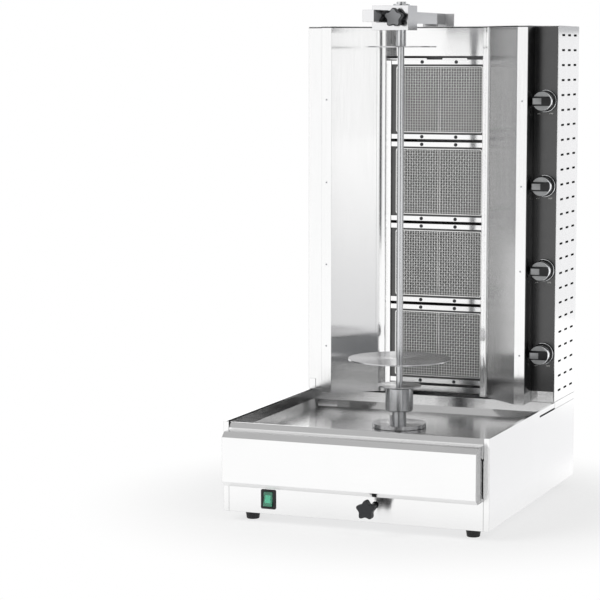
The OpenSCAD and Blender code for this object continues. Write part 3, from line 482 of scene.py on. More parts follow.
@contextmanager
def editing(piece: Object) -> Iterator[None]:
    """Opens a piece in edit mode with nothing else selected, and closes it again."""
    focus(piece)
    bpy.ops.object.mode_set(mode="EDIT")
    yield
    bpy.ops.object.mode_set(mode="OBJECT")


def pick(piece: Object, kind: Pick, test: Callable[[Vector, Vector], bool]) -> None:
    """Selects parts of the piece in edit mode by their place and normal.

    Args:
        piece: The piece in edit mode.
        kind: What to select.
        test: Takes a place and a normal (for an edge, its run) and says whether that part is wanted.
    """
    bpy.ops.mesh.select_mode(type=kind.value)
    bpy.ops.mesh.select_all(action="DESELECT")
    shape = bmesh.from_edit_mesh(piece.data)
    shape.normal_update()
    if kind is Pick.FACES:
        found = [(face, face.calc_center_median(), face.normal) for face in shape.faces]
    elif kind is Pick.EDGES:
        found = [(edge, (edge.verts[0].co + edge.verts[1].co) / 2, edge.verts[0].co - edge.verts[1].co)
                 for edge in shape.edges]
    else:
        found = [(point, point.co, point.normal) for point in shape.verts]
    for part, place, normal in found:
        if test(place, normal):
            part.select_set(True)
    shape.select_flush_mode()
    bmesh.update_edit_mesh(piece.data)


def refine(piece: Object, kind: str, **settings: Any) -> None:
    """Adds a modifier and applies it.

    Args:
        piece: The piece.
        kind: Blender's name for the modifier.
        settings: The modifier's properties.
    """
    focus(piece)
    step = piece.modifiers.new(kind.title(), kind)
    for name, value in settings.items():
        setattr(step, name, value)
    bpy.ops.object.modifier_apply(modifier=step.name)


def soften(piece: Object, width_mm: float, segments: int = 3, degrees: float = 30.0) -> None:
    """Rounds every edge that is sharper than an angle.

    Args:
        piece: The piece.
        width_mm: Width of the rounding.
        segments: How many facets it has.
        degrees: The angle.
    """
    refine(piece, "BEVEL", width=width_mm * MM, segments=segments, limit_method="ANGLE",
           angle_limit=math.radians(degrees), use_clamp_overlap=True)


def block(name: str, low: Place, high: Place) -> Object:
    """Adds a box between two corners, to be shaped further.

    Args:
        name: The piece's name.
        low: Its lowest corner.
        high: Its highest corner.

    Returns:
        The piece.
    """
    deselect()
    bpy.ops.mesh.primitive_cube_add(size=1.0, location=[(a + b) / 2 for a, b in zip(low, high)])
    bpy.context.object.scale = [b - a for a, b in zip(low, high)]
    return settle(name)


def slab(name: str, at: Vector, half: Sequence[float], front: float, back: float) -> Object:
    """Adds a box that faces the front, by its half width and half height, to be shaped further."""
    w, h = half
    return block(name, (at.x - w, front, at.z - h), (at.x + w, back, at.z + h))


def turned(name: str, profile: Profile, foot: Place, axis: Axis, sides: int = 48) -> Object:
    """Builds a round piece ring by ring, by extruding and scaling a disc.

    Args:
        name: The piece's name.
        profile: Radius and height above the foot of each ring, in millimetres.
        foot: Where the piece's axis meets its foot.
        axis: The way it points.
        sides: Corners of each ring.

    Returns:
        The piece.
    """
    deselect()
    bpy.ops.mesh.primitive_circle_add(vertices=sides, radius=profile[0][0] * MM, fill_type="NGON",
                                      location=(0, 0, profile[0][1] * MM))
    piece = settle(name)
    with editing(piece):
        bpy.ops.mesh.select_all(action="SELECT")
        for (r0, h0), (r1, h1) in zip(profile, profile[1:]):
            bpy.ops.mesh.extrude_region_move(TRANSFORM_OT_translate={"value": (0, 0, (h1 - h0) * MM)})
            bpy.ops.transform.resize(value=(r1 / r0, r1 / r0, 1), center_override=(0, 0, h1 * MM))
        bpy.ops.mesh.select_all(action="SELECT")
        bpy.ops.mesh.normals_make_consistent(inside=False)
    piece.location = foot
    piece.rotation_euler = axis.value
    focus(piece)
    return settle(name)


def rolled(name: str, path: list[tuple[float, float]], foot: float, top: float, wall_mm: float) -> Object:
    """Rolls an upright strip along a line in plan, one extrusion for each step.

    Args:
        name: The piece's name.
        path: The line's points, in metres.
        foot: The strip's lower edge.
        top: Its upper edge.
        wall_mm: Its thickness.

    Returns:
        The strip.
    """
    deselect()
    x, y = path[0]
    bpy.ops.mesh.primitive_plane_add(size=1.0, rotation=(math.pi / 2, 0, 0),
                                     location=(x + 0.5, y, (foot + top) / 2))
    bpy.context.object.scale = (1, top - foot, 1)
    strip = settle(name)
    with editing(strip):
        pick(strip, Pick.POINTS, lambda at, normal: at.x > x + 0.5)
        bpy.ops.mesh.delete(type="VERT")
        bpy.ops.mesh.select_mode(type="EDGE")
        bpy.ops.mesh.select_all(action="SELECT")
        for (x0, y0), (x1, y1) in zip(path, path[1:]):
            bpy.ops.mesh.extrude_region_move(TRANSFORM_OT_translate={"value": (x1 - x0, y1 - y0, 0)})
        bpy.ops.mesh.select_all(action="SELECT")
        bpy.ops.mesh.normals_make_consistent(inside=False)
    refine(strip, "SOLIDIFY", thickness=wall_mm * MM, offset=0.0)
    return strip


def joined(name: str, *parts: Object) -> Object:
    """Makes one piece of several, of which the first is kept."""
    focus(*parts)
    bpy.ops.object.join()
    parts[0].name = parts[0].data.name = name
    return parts[0]


def copied(piece: Object, name: str, shift: Place) -> Object:
    """Copies a piece with its own mesh.

    Args:
        piece: The piece that is copied.
        name: The copy's name.
        shift: How far the copy lies from it.

    Returns:
        The copy.
    """
    twin = piece.copy()
    twin.data = piece.data.copy()
    twin.name = twin.data.name = name
    bpy.context.scene.collection.objects.link(twin)
    twin.data.transform(Matrix.Translation(shift))
    return twin


def hand_over(piece: Object, finish: Finish, body: str, slot: str, stands_for: tuple[str, ...] = (),
              smooth_deg: float = 35.0) -> None:
    """Closes, smooths and dresses a finished piece and hangs it on its body.

    Args:
        piece: The piece.
        finish: Its surface.
        body: The CAD body that it moves with.
        slot: The record's material slot; not used.
        stands_for: CAD nodes that it replaces.
        smooth_deg: Faces that meet at less than this shade as one.
    """
    with editing(piece):
        bpy.ops.mesh.select_all(action="SELECT")
        bpy.ops.mesh.remove_doubles(threshold=0.005 * MM)
        bpy.ops.mesh.normals_make_consistent(inside=False)
    bpy.ops.object.shade_smooth_by_angle(angle=math.radians(smooth_deg))
    piece.data.materials.clear()
    piece.data.materials.append(finish.material())
    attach(piece, body)
    if stands_for:
        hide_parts(*stands_for)
    LOG.info("%s: %d faces on %s", piece.name, len(piece.data.polygons), body)


def repeat(first: Object, stem: str, places: list[Place], *handing: Any) -> None:
    """Copies a piece to its other places and hands all of them over.

    Args:
        first: The piece, at the first place.
        stem: The copies' name, before the number.
        places: Where the pieces go.
        handing: What hand_over takes after the piece.
    """
    for number, place in enumerate(places[1:], 2):
        hand_over(copied(first, f"{stem}_{number}", Vector(place) - Vector(places[0])), *handing)
    hand_over(first, *handing)


def dress(finish: Finish, *nodes: str) -> None:
    """Gives CAD nodes a finish."""
    for name in nodes:
        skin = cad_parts[name].data
        skin.materials.clear()
        skin.materials.append(finish.material())
        LOG.info("%s: %s", name, finish.name)


def corners(node: str) -> tuple[Vector, Vector]:
    """The lowest and the highest corner of a CAD node's box."""
    low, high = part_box(node)
    return Vector(low), Vector(high)


def middle(node: str) -> Vector:
    """The middle of a CAD node's box."""
    low, high = corners(node)
    return (low + high) / 2


@dataclass(frozen=True)
class Screw:
    """A pan-head screw or rivet with a recess."""

    head_mm: float = 8.0
    height_mm: float = 2.2
    sides: int = 16

    def build(self, name: str, foot: Place, axis: Axis) -> Object:
        """Turns the head and sinks its recess.

        Args:
            name: The piece's name.
            foot: Where the head meets what it holds.
            axis: The way the head points.

        Returns:
            The head.
        """
        r, h = self.head_mm / 2, self.height_mm
        profile = ((r, 0), (r, h * 0.35), (r * 0.86, h * 0.75), (r * 0.6, h),
                   (r * 0.46, h), (r * 0.4, h * 0.35))
        return turned(name, profile, foot, axis, self.sides)


@dataclass
class Cabinet:
    """Base cabinet with its pan, feet, switch and cable entry."""

    foot_profile: Profile = ((11, 0), (12.6, 0.2), (13.5, 1.2), (15.9, 17.6), (16.4, 18.2), (17, 18.6),
                             (17, 21.6), (16.6, 22))
    foot_reach_mm: float = 17.0
    foot_hollow_mm: tuple[float, float] = (4.0, 5.0)
    bezel_deep_mm: float = 2.5
    corner_mm: float = 3.0
    well_mm: tuple[float, float] = (10.6, 16.6)
    opening_mm: tuple[float, float] = (10.3, 16.4)
    rocker_mm: tuple[float, float] = (20.0, 32.0)
    rocker_play_mm: float = 0.6
    tilt_deg: float = 7.0
    nut_profile: Profile = ((11.6, 0), (11.9, 0.6), (11.9, 5.4), (11.4, 6))
    cap_profile: Profile = ((9.9, 5.8), (10, 6.6), (9.2, 13), (8.2, 16.6), (7, 18), (4.2, 18), (4, 12))
    cap_sides: int = 48

    def build(self) -> None:
        """Builds the feet, the switch and the cable gland."""
        self.feet()
        self.switch()
        self.gland()

    def feet(self) -> None:
        """Models one rubber foot and copies it to the corners."""
        low, high = corners("feet")
        reach = self.foot_reach_mm * MM
        places = [(x, y, 0) for x in (low.x + reach, high.x - reach) for y in (low.y + reach, high.y - reach)]
        first = turned("foot_1", self.foot_profile, places[0], Axis.UP)
        rim, deep = self.foot_hollow_mm
        with editing(first):
            pick(first, Pick.FACES, lambda at, normal: normal.z < -0.9 and at.z < 0.1 * MM)
            bpy.ops.mesh.inset(thickness=rim * MM)
            bpy.ops.transform.translate(value=(0, 0, deep * MM))
        repeat(first, "foot", places, RUBBER, "chassis", "rubber", ("feet",))

    def switch(self) -> None:
        """Models the switch's bezel and the well behind it, and then its rocker."""
        low, high = corners("switch_bezel")
        at = (low + high) / 2
        face = low.y + self.bezel_deep_mm * MM
        bezel = block("switch_frame", low, (high.x, face, high.z))
        with editing(bezel):
            pick(bezel, Pick.EDGES, lambda mid, run: abs(run.y) > 1 * MM)
            bpy.ops.mesh.bevel(offset=self.corner_mm * MM, segments=4)
            pick(bezel, Pick.FACES, lambda mid, normal: normal.y < -0.9)
            bpy.ops.mesh.inset(thickness=1.2 * MM)
        soften(bezel, 0.7)
        well = slab("switch_well", at, [side * MM for side in self.well_mm], face + 2 * MM, high.y)
        soften(well, 0.5)
        cutter = slab("switch_cutter", at, [side * MM for side in self.opening_mm],
                      low.y - 5 * MM, face + 1 * MM)
        soften(cutter, 1.2)
        refine(bezel, "BOOLEAN", object=cutter, operation="DIFFERENCE", solver="EXACT")
        bpy.data.objects.remove(cutter)
        hand_over(joined("switch_frame", bezel, well), THERMOSET, "chassis",
                  "black_plastic", ("switch_bezel",))
        self.rocker(at)

    def rocker(self, at: Vector) -> None:
        """Models the tilted rocker with its dished face and clear window, round the switch's middle."""
        pivot = Vector((at.x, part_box("front_fascia")[0][1] + 3 * MM, at.z))
        w, h = (side * MM / 2 for side in self.rocker_mm)
        case = slab("rocker_case", at, (w, h - self.rocker_play_mm * MM),
                    pivot.y - 8.2 * MM, pivot.y + 1 * MM)
        with editing(case):
            pick(case, Pick.EDGES, lambda mid, run: abs(run.z) > 9 * MM)
            bpy.ops.mesh.subdivide(number_cuts=5)
            for share, dip in ((0.0, 2.0), (0.34, 1.5)):
                pick(case, Pick.POINTS, lambda spot, normal: spot.y < pivot.y - 7 * MM
                     and abs(abs(spot.z - at.z) - share * h) < 0.12 * h)
                bpy.ops.transform.translate(value=(0, dip * MM, 0))
        soften(case, 1.2, 4, 50)
        lens = slab("rocker_lens", at, (w * 0.62, h * 0.72), pivot.y - 7.6 * MM, pivot.y - 4 * MM)
        with editing(lens):
            pick(lens, Pick.EDGES, lambda mid, run: abs(run.y) > 1 * MM)
            bpy.ops.mesh.bevel(offset=self.corner_mm * MM, segments=4)
        soften(lens, 0.6)
        for part in (case, lens):
            with editing(part):
                bpy.ops.mesh.select_all(action="SELECT")
                bpy.ops.transform.rotate(value=math.radians(self.tilt_deg), orient_axis="X",
                                         center_override=pivot)
        hand_over(case, GREEN_CASE, "rocker", "green_plastic", ("rocker",))
        hand_over(lens, GREEN_LENS, "rocker", "green_plastic")

    def gland(self) -> None:
        """Models the cable gland with a ribbed cap."""
        at = middle("cable_gland")
        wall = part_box("base_rear")[1][1]
        foot = (at.x, wall, at.z)
        nut = turned("gland_nut", self.nut_profile, foot, Axis.BACK, 6)
        soften(nut, 0.5, 2)
        cap = turned("gland_cap", self.cap_profile, foot, Axis.BACK, self.cap_sides)
        with editing(cap):
            pick(cap, Pick.FACES, lambda mid, normal: wall + 7 * MM < mid.y < wall + 12 * MM
                 and int((math.atan2(mid.z - at.z, mid.x - at.x) + 7) / math.tau * self.cap_sides) % 3 == 0)
            bpy.ops.mesh.extrude_region_shrink_fatten(TRANSFORM_OT_shrink_fatten={"value": -0.7 * MM})
        hand_over(joined("cable_gland_cap", nut, cap), THERMOSET, "chassis",
                  "black_plastic", ("cable_gland",), 30)

    def dress(self) -> None:
        """Gives the cabinet's sheets and the drawer their steel."""
        dress(SHEET_LEVEL, "front_fascia", "drawer_front", "juice_pan", "drawer_bay", "drawer_tray")
        dress(SHEET_DEEP, "base_side_left", "base_side_right")
        dress(SHEET_MILL, "base_floor", "base_rear")


@dataclass
class Housing:
    """Burner housing: skins, wings, covers and their fasteners."""

    rivet: Screw = Screw(4.2, 0.5, 12)
    rivet_in_mm: float = 11.5
    rear_screw: Screw = Screw(7.0, 1.8, 16)
    rear_in_mm: tuple[float, float] = (10.0, 12.0)
    lip_mm: tuple[float, float, float] = (113.0, 126.0, 199.0)
    bend_mm: float = 18.4
    hem_mm: float = 0.15
    face_deg: float = 48.4
    roof_shade_mm: tuple[float, float] = (0.5, 1.9)
    roof_shade_off_mm: float = 0.4

    def build(self) -> None:
        """Adds the wings' rivets and hems, the panel's flange, a black strip of painted shade under the roof,
        and the rear screws.
        """
        for side, sign in (("left", -1), ("right", 1)):
            low, high = corners(f"wing_{side}")
            edge = high.x if sign > 0 else low.x
            for row in range(1, BURNERS + 1):
                place = (edge - sign * self.rivet_in_mm * MM, low.y, middle(f"gas_knob_{row}").z)
                piece = self.rivet.build(f"wing_rivet_{side}_{row}", place, Axis.FRONT)
                hand_over(piece, SCREW_ZINC, "chassis", "stainless_sheet")
            line = [(sign * x * MM, y * MM) for x, y in self.hem_line()]
            strip = rolled(f"wing_hem_{side}", line, low.z, high.z, self.hem_mm)
            hand_over(strip, SHEET_UPRIGHT, "chassis", "stainless_sheet", smooth_deg=60)
        self.cheek()
        self.roof_shade_strip()
        self.rear_screws()

    def cheek(self) -> None:
        """Lines the right wing's return beside the panel with the panel's own enamelled flange."""
        low, high = corners("control_panel")
        wing_low, wing_high = corners("wing_right")
        piece = block("panel_flange", (wing_high.x + 0.05 * MM, wing_low.y + 3 * MM, low.z),
                      (wing_high.x + 0.65 * MM, low.y - 0.6 * MM, high.z))
        soften(piece, 0.2, 2)
        hand_over(piece, ENAMEL, "chassis", "black_panel")

    def roof_shade_strip(self) -> None:
        """Lays a black strip under the roof's edge as painted shade, along the wings, the left strip and the
        cover.
        """
        wall, tall = self.roof_shade_mm
        off, end = self.roof_shade_off_mm * MM, 1 * MM
        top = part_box("housing_top")[0][2] - 0.1 * MM
        low, high = corners("upper_cover")
        lines = {"cover": [(x, low.y - off) for x in (low.x + end, high.x - end)]}
        inner, corner, lip = (value * MM for value in self.lip_mm)
        for side, sign in (("left", -1), ("right", 1)):
            low, high = corners(f"wing_{side}")
            bend = corner + (lip - low.y) * math.tan(math.radians(self.face_deg))
            outer = high.x if sign > 0 else -low.x
            plan = ((outer, low.y), (bend - 0.1 * MM, low.y), (corner - 0.1 * MM, lip), (inner, lip))
            lines[side] = [(sign * x, y - off) for x, y in plan]
        low, _ = corners("housing_side_left")
        lines["strip"] = [(x, low.y - off) for x in (low.x + end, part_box("wing_left")[0][0] - end)]
        for name, path in lines.items():
            # Each strip is painted shade in black rubber, under the roof's edge.
            strip = rolled(f"roof_seal_{name}", path, top - tall * MM, top, wall)
            hand_over(strip, RUBBER, "chassis", "rubber")

    def hem_line(self) -> list[tuple[float, float]]:
        """The rolled bend from a wing's face over its lip into the throat, in plan.

        Returns:
            Points in millimetres for the right wing.
        """
        inner, corner, lip = self.lip_mm
        start = math.radians(self.face_deg)
        sweep = math.pi / 2 - start
        x, y = corner - self.bend_mm * math.tan(sweep / 2), lip - self.bend_mm
        reach = self.bend_mm - 0.2
        bend = [(x + reach * math.cos(turn), y + reach * math.sin(turn))
                for turn in (start + sweep * i / 8 for i in range(9))]
        tail = [(bend[0][0] + math.sin(start) * 2, bend[0][1] - math.cos(start) * 2)]
        edge = [(inner + 2.4, lip - 0.25), (inner + 1.0, lip - 0.2), (inner + 0.2, lip + 0.1),
                (inner - 0.2, lip + 0.9), (inner - 0.3, lip + 2.4), (inner - 0.3, lip + 20)]
        return tail + bend + edge

    def rear_screws(self) -> None:
        """Models one panel screw and copies it round both rear panels."""
        side, rise = (value * MM for value in self.rear_in_mm)
        places = []
        for node in ("housing_rear", "base_rear"):
            low, high = corners(node)
            rows = (low.z + rise, (low.z + high.z) / 2, high.z - rise)
            places += [(x, high.y, z) for x in (low.x + side, high.x - side) for z in rows]
            places += [(0.0, high.y, rows[0]), (0.0, high.y, rows[2])]
        first = self.rear_screw.build("rear_screw_1", places[0], Axis.BACK)
        repeat(first, "rear_screw", places, SCREW_ZINC, "chassis", "stainless_sheet")

    def dress(self) -> None:
        """Gives the housing its steel and its enamel."""
        dress(SHEET_UPRIGHT, "housing_side_left", "housing_side_right", "wing_left", "wing_right")
        dress(SHEET_LEVEL, "housing_plinth", "upper_cover", "lower_cover")
        dress(SHEET_ROOF, "housing_top")
        dress(SHEET_MILL, "housing_rear")
        dress(ENAMEL, "control_panel")


@dataclass
class BurnerStack:
    """Four radiant burners: casings, ceramic plates, woven nets and clamp rails."""

    window_mm: tuple[float, float] = (200.0, 144.0)
    pitch_mm: float = 6.0
    wire_mm: float = 1.9
    wire_sides: int = 6
    strip_mm: float = 2.2
    corner_mm: float = 5.0
    seam_mm: float = 3.8
    fold_mm: float = 1.4
    screw: Screw = Screw(8.0, 2.2, 16)
    screw_up_mm: float = 5.35

    def build(self) -> None:
        """Models one net and one rail screw, and copies them up the stack."""
        low, high = corners("burner_meshes")
        heights = [middle(f"burner_body_{i + 1}").z for i in range(BURNERS)]
        net = self.net("burner_net_1", low.y, heights[0])
        strip = self.strip("burner_strip_1", low.y, high.y, heights[0])
        for i in (*range(1, BURNERS), 0):
            rise = (0, 0, heights[i] - heights[0])
            for piece, stem, finish, stands_for in ((net, "burner_net", WIRE_HEATED, ("burner_meshes",)),
                                                    (strip, "burner_strip", FRAME_HEATED, ())):
                twin = copied(piece, f"{stem}_{i + 1}", rise) if i else piece
                hand_over(twin, finish, "chassis", "wire_mesh", stands_for)
        self.screws(heights)

    def net(self, name: str, front: float, height: float) -> Object:
        """Weaves the net: two wires each way make one repeat, which is laid out in rows.

        Args:
            name: The piece's name.
            front: The plane of the net's foremost wires.
            height: The net's middle.

        Returns:
            The net.
        """
        pitch, r = self.pitch_mm * MM, self.wire_mm * MM / 2
        w, h = (side * MM / 2 for side in self.window_mm)
        sway = r * 0.8
        y = front + r + sway
        swapped = Matrix(((0, 0, 1, 0), (0, 1, 0, 0), (1, 0, 0, 0), (0, 0, 0, 1)))
        strands = []
        for row, turn in ((0, 0), (0, 1), (1, 0), (1, 1)):
            strands.append(self.strand(pitch, r, sway if row == turn else -sway, row))
            if turn:
                strands[-1].data.transform(swapped)
        net = joined(name, *strands)
        across, up = (math.ceil(side / pitch) + 1 for side in (w, h))
        for count, step in ((across, (2 * pitch, 0, 0)), (up, (0, 0, 2 * pitch))):
            refine(net, "ARRAY", count=count, use_relative_offset=False, use_constant_offset=True,
                   constant_offset_displace=step, use_merge_vertices=True, merge_threshold=0.01 * MM)
        net.data.transform(Matrix.Translation((-across * pitch, y, height - up * pitch)))
        with editing(net):
            for normal, reach in (((1, 0, 0), w), ((-1, 0, 0), w), ((0, 0, 1), h), ((0, 0, -1), h)):
                bpy.ops.mesh.select_all(action="SELECT")
                edge = Vector(normal) * reach + Vector((0, y, height))
                bpy.ops.mesh.bisect(plane_co=edge, plane_no=normal, clear_outer=True)
        return net

    def strand(self, pitch: float, r: float, sway: float, row: int) -> Object:
        """Crimps one repeat of a wire.

        Args:
            pitch: Distance from wire to wire.
            r: The wire's radius.
            sway: How far its first crest lies to the front.
            row: Which of the repeat's two rows it lies in.

        Returns:
            The strand, along X.
        """
        deselect()
        bpy.ops.mesh.primitive_cylinder_add(vertices=self.wire_sides, radius=r, depth=2 * pitch,
                                            end_fill_type="NOTHING", rotation=(0, math.pi / 2, 0),
                                            location=(pitch, 0, 0))
        strand = settle("strand")
        with editing(strand):
            for cut in (0.5, 1.0, 1.5):
                bpy.ops.mesh.select_all(action="SELECT")
                bpy.ops.mesh.bisect(plane_co=(cut * pitch, 0, 0), plane_no=(1, 0, 0))
            for crest, lift in ((0.5, -sway), (1.5, sway)):
                pick(strand, Pick.POINTS, lambda at, normal: abs(at.x - crest * pitch) < 0.1 * pitch)
                bpy.ops.transform.translate(value=(0, lift, 0))
            bpy.ops.mesh.select_all(action="SELECT")
            bpy.ops.transform.translate(value=(0, 0, (row + 0.5) * pitch))
        return strand

    def strip(self, name: str, front: float, back: float, height: float) -> Object:
        """Presses the frame round a net from one strip, with a folded seam down its middle.

        Args:
            name: The piece's name.
            front: The frame's face.
            back: The frame's back.
            height: Its middle.

        Returns:
            The frame.
        """
        w, h = (side * MM / 2 for side in self.window_mm)
        rim = self.strip_mm * MM
        deselect()
        bpy.ops.mesh.primitive_plane_add(size=2.0, rotation=(math.pi / 2, 0, 0), location=(0, front, height))
        bpy.context.object.scale = (w, h, 1)
        ring = settle(name)
        with editing(ring):
            bpy.ops.mesh.select_all(action="SELECT")
            bpy.ops.mesh.bevel(offset=self.corner_mm * MM, segments=5, affect="VERTICES")
            bpy.ops.mesh.select_mode(type="EDGE")
            bpy.ops.mesh.select_all(action="SELECT")
            bpy.ops.mesh.extrude_edges_move()
            bpy.ops.transform.resize(value=((w + rim) / w, 1, (h + rim) / h),
                                     center_override=(0, front, height))
            pick(ring, Pick.FACES, lambda at, normal: abs(at.x) < 0.01 * MM
                 and abs(at.z - height) < 0.01 * MM)
            bpy.ops.mesh.delete(type="FACE")
        refine(ring, "SOLIDIFY", thickness=(back - front) * 0.8, offset=-1.0)
        folds = []
        for side in (-1, 1):
            at = Vector((side * self.seam_mm * MM / 2, front, height))
            fold = slab(f"seam_{side}", at, (self.fold_mm * MM / 2, h + 1 * MM), front + 0.1 * MM, back)
            soften(fold, 0.4)
            folds.append(fold)
        return joined(name, ring, *folds)

    def screws(self, heights: list[float]) -> None:
        """Sets two screws in each clamp rail, above and below each of the burners' middles."""
        high = Vector(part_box("rail_screws")[1])
        x = high.x - self.screw.head_mm / 2 * MM
        span = heights[0] - (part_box("burner_rails")[0][2] + self.screw_up_mm * MM)
        places = [(column * x, high.y, height + side * span)
                  for height in heights for side in (-1, 1) for column in (-1, 1)]
        first = self.screw.build("rail_screw_1", places[0], Axis.FRONT)
        repeat(first, "rail_screw", places, SCREW_BLACK, "chassis", "stainless_sheet", ("rail_screws",))

    def dress(self) -> None:
        """Gives casings, plates and rails their finish."""
        dress(SHEET_DARK_GREY, *(f"burner_body_{i + 1}" for i in range(BURNERS)))
        dress(CERAMIC, "ceramic_plates")
        dress(SHEET_LEVEL, "burner_rails")


@dataclass
class GasControls:
    """Gas knobs with plated caps, scale marks, taps and pipes."""

    skirt_mm: tuple[float, float] = (48.0, 6.0)
    cap_mm: tuple[float, float] = (43.0, 27.0)
    wedge_mm: tuple[float, float] = (10.0, 21.0)
    wedge_top_mm: tuple[float, float, float] = (18.0, 3.0, 15.0)
    sides: int = 72
    mark_down_mm: float = 29.0
    mark_wide_mm: float = 1.9
    marks_mm: Profile = ((-19.5, 1.2), (-17, 1.8), (-14.5, 2.4), (8.0, 3.4), (11.0, 3.4), (14.0, 3.4))

    def build(self) -> None:
        """Models one knob and its marks, and copies them up the panel."""
        at = middle("gas_knob_1")
        foot = (at.x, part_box("gas_knob_1")[1][1], at.z)
        first = {"skirt": (self.skirt(foot), THERMOSET), "ring": (self.ring(foot), CHROME),
                 "cap": (self.cap(foot), CHROME), "face": (self.face(foot), ANODISED),
                 "grip": (self.wedge(foot), THERMOSET), "marks": (self.marks(at.x, at.z), PRINT)}
        for number in range(BURNERS, 0, -1):
            rise = (0, 0, middle(f"gas_knob_{number}").z - at.z)
            for part, (piece, finish) in first.items():
                twin = piece if number == 1 else copied(piece, f"gas_{part}_{number}", rise)
                if part == "marks":
                    hand_over(twin, finish, "chassis", "black_panel")
                else:
                    slot = "black_plastic" if finish is THERMOSET else "turned_steel"
                    hand_over(twin, finish, f"knob_{number}", slot, (f"gas_knob_{number}",))

    def skirt(self, foot: Place) -> Object:
        """Turns the black skirt at the knob's foot."""
        r, deep = self.skirt_mm[0] / 2 - 0.9, self.skirt_mm[1]
        profile = ((r - 1, 0), (r, 0.3), (r, deep - 2.4), (r - 0.6, deep - 1), (r - 1.6, deep), (r - 4, deep))
        return turned("gas_skirt_1", profile, foot, Axis.FRONT, self.sides)

    def ring(self, foot: Place) -> Object:
        """Turns the thin plated ring round the skirt's foot."""
        r = self.skirt_mm[0] / 2
        profile = ((r - 1.2, 0.2), (r, 0.2), (r, 0.9), (r - 0.3, 1.4), (r - 1.2, 1.6))
        return turned("gas_ring_1", profile, foot, Axis.FRONT, self.sides)

    def cap(self, foot: Place) -> Object:
        """Turns the deep plated cap."""
        r, start = self.cap_mm[0] / 2, self.skirt_mm[1]
        end = start + self.cap_mm[1]
        profile = ((r - 0.5, start - 0.5), (r, start + 0.4), (r - 0.4, end - 3), (r - 0.6, end - 1.4),
                   (r - 1.1, end - 0.5), (r - 1.9, end - 0.1), (r - 3, end - 0.1))
        return turned("gas_cap_1", profile, foot, Axis.FRONT, self.sides)

    def face(self, foot: Place) -> Object:
        """Turns the anodised disc in the cap's face and sets the plate on the grip."""
        r = self.cap_mm[0] / 2 - 1.3
        end = self.skirt_mm[1] + self.cap_mm[1]
        profile = ((r, end - 0.6), (r, end - 0.1), (r - 0.2, end), (r - 1, end))
        disc = turned("gas_face_1", profile, foot, Axis.FRONT, self.sides)
        nose, ramp_end, wide = (value - 0.9 for value in self.wedge_top_mm)
        half = (wide - 0.9) / 2
        x, y, z = foot
        front = y - (end + self.wedge_mm[0]) * MM
        plate = block("plate", (x - nose * MM, front, z - half * MM),
                      (x + ramp_end * MM, front + 0.8 * MM, z + half * MM))
        soften(plate, 0.25, 2)
        return joined("gas_face_1", disc, plate)

    def wedge(self, foot: Place) -> Object:
        """Shapes the black grip: a bar across the cap, thick to the left, with a ramp to the right."""
        tall, wide = self.wedge_mm
        nose, ramp_end, top = self.wedge_top_mm
        x, y, z = foot
        r = self.cap_mm[0] / 2
        base = y - (self.skirt_mm[1] + self.cap_mm[1] - 1) * MM
        front = base - (tall + 0.75) * MM
        grip = slab("gas_grip_1", Vector(foot), (r * MM, wide * MM / 2), front, base)
        with editing(grip):
            for side, reach in ((-1, nose), (1, ramp_end)):
                pick(grip, Pick.POINTS, lambda at, normal: at.y < front + 1 * MM and side * (at.x - x) > 0)
                bpy.ops.transform.translate(value=(side * (reach - r) * MM, 0, 0))
            pick(grip, Pick.FACES, lambda at, normal: normal.y < -0.9)
            bpy.ops.transform.resize(value=(1, 1, top / wide), center_override=(x, front, z))
        limit = turned("limit", ((r - 1, self.skirt_mm[1]), (r - 1, 60)), foot, Axis.FRONT, self.sides)
        refine(grip, "BOOLEAN", object=limit, operation="INTERSECT", solver="EXACT")
        bpy.data.objects.remove(limit)
        soften(grip, 0.9, 3)
        return grip

    def marks(self, x: float, z: float) -> Object:
        """Prints a small and a large level mark below a knob.

        Args:
            x: The knob's middle, across.
            z: The knob's middle, in height.

        Returns:
            The marks, as one piece.
        """
        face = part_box("control_panel")[0][1]
        low = z - self.mark_down_mm * MM
        bars = []
        for start, tall in self.marks_mm:
            left = x + start * MM
            bar = block(f"mark_{len(bars)}", (left, face - 0.08 * MM, low),
                        (left + self.mark_wide_mm * MM, face + 0.05 * MM, low + tall * MM))
            soften(bar, 0.05, 1)
            bars.append(bar)
        return joined("gas_marks_1", *bars)

    def dress(self) -> None:
        """Gives the gas train its brass."""
        dress(BRASS, "gas_manifold", "gas_taps", "feed_pipes", "gas_inlet",
              *(f"tap_stem_{i + 1}" for i in range(BURNERS)))


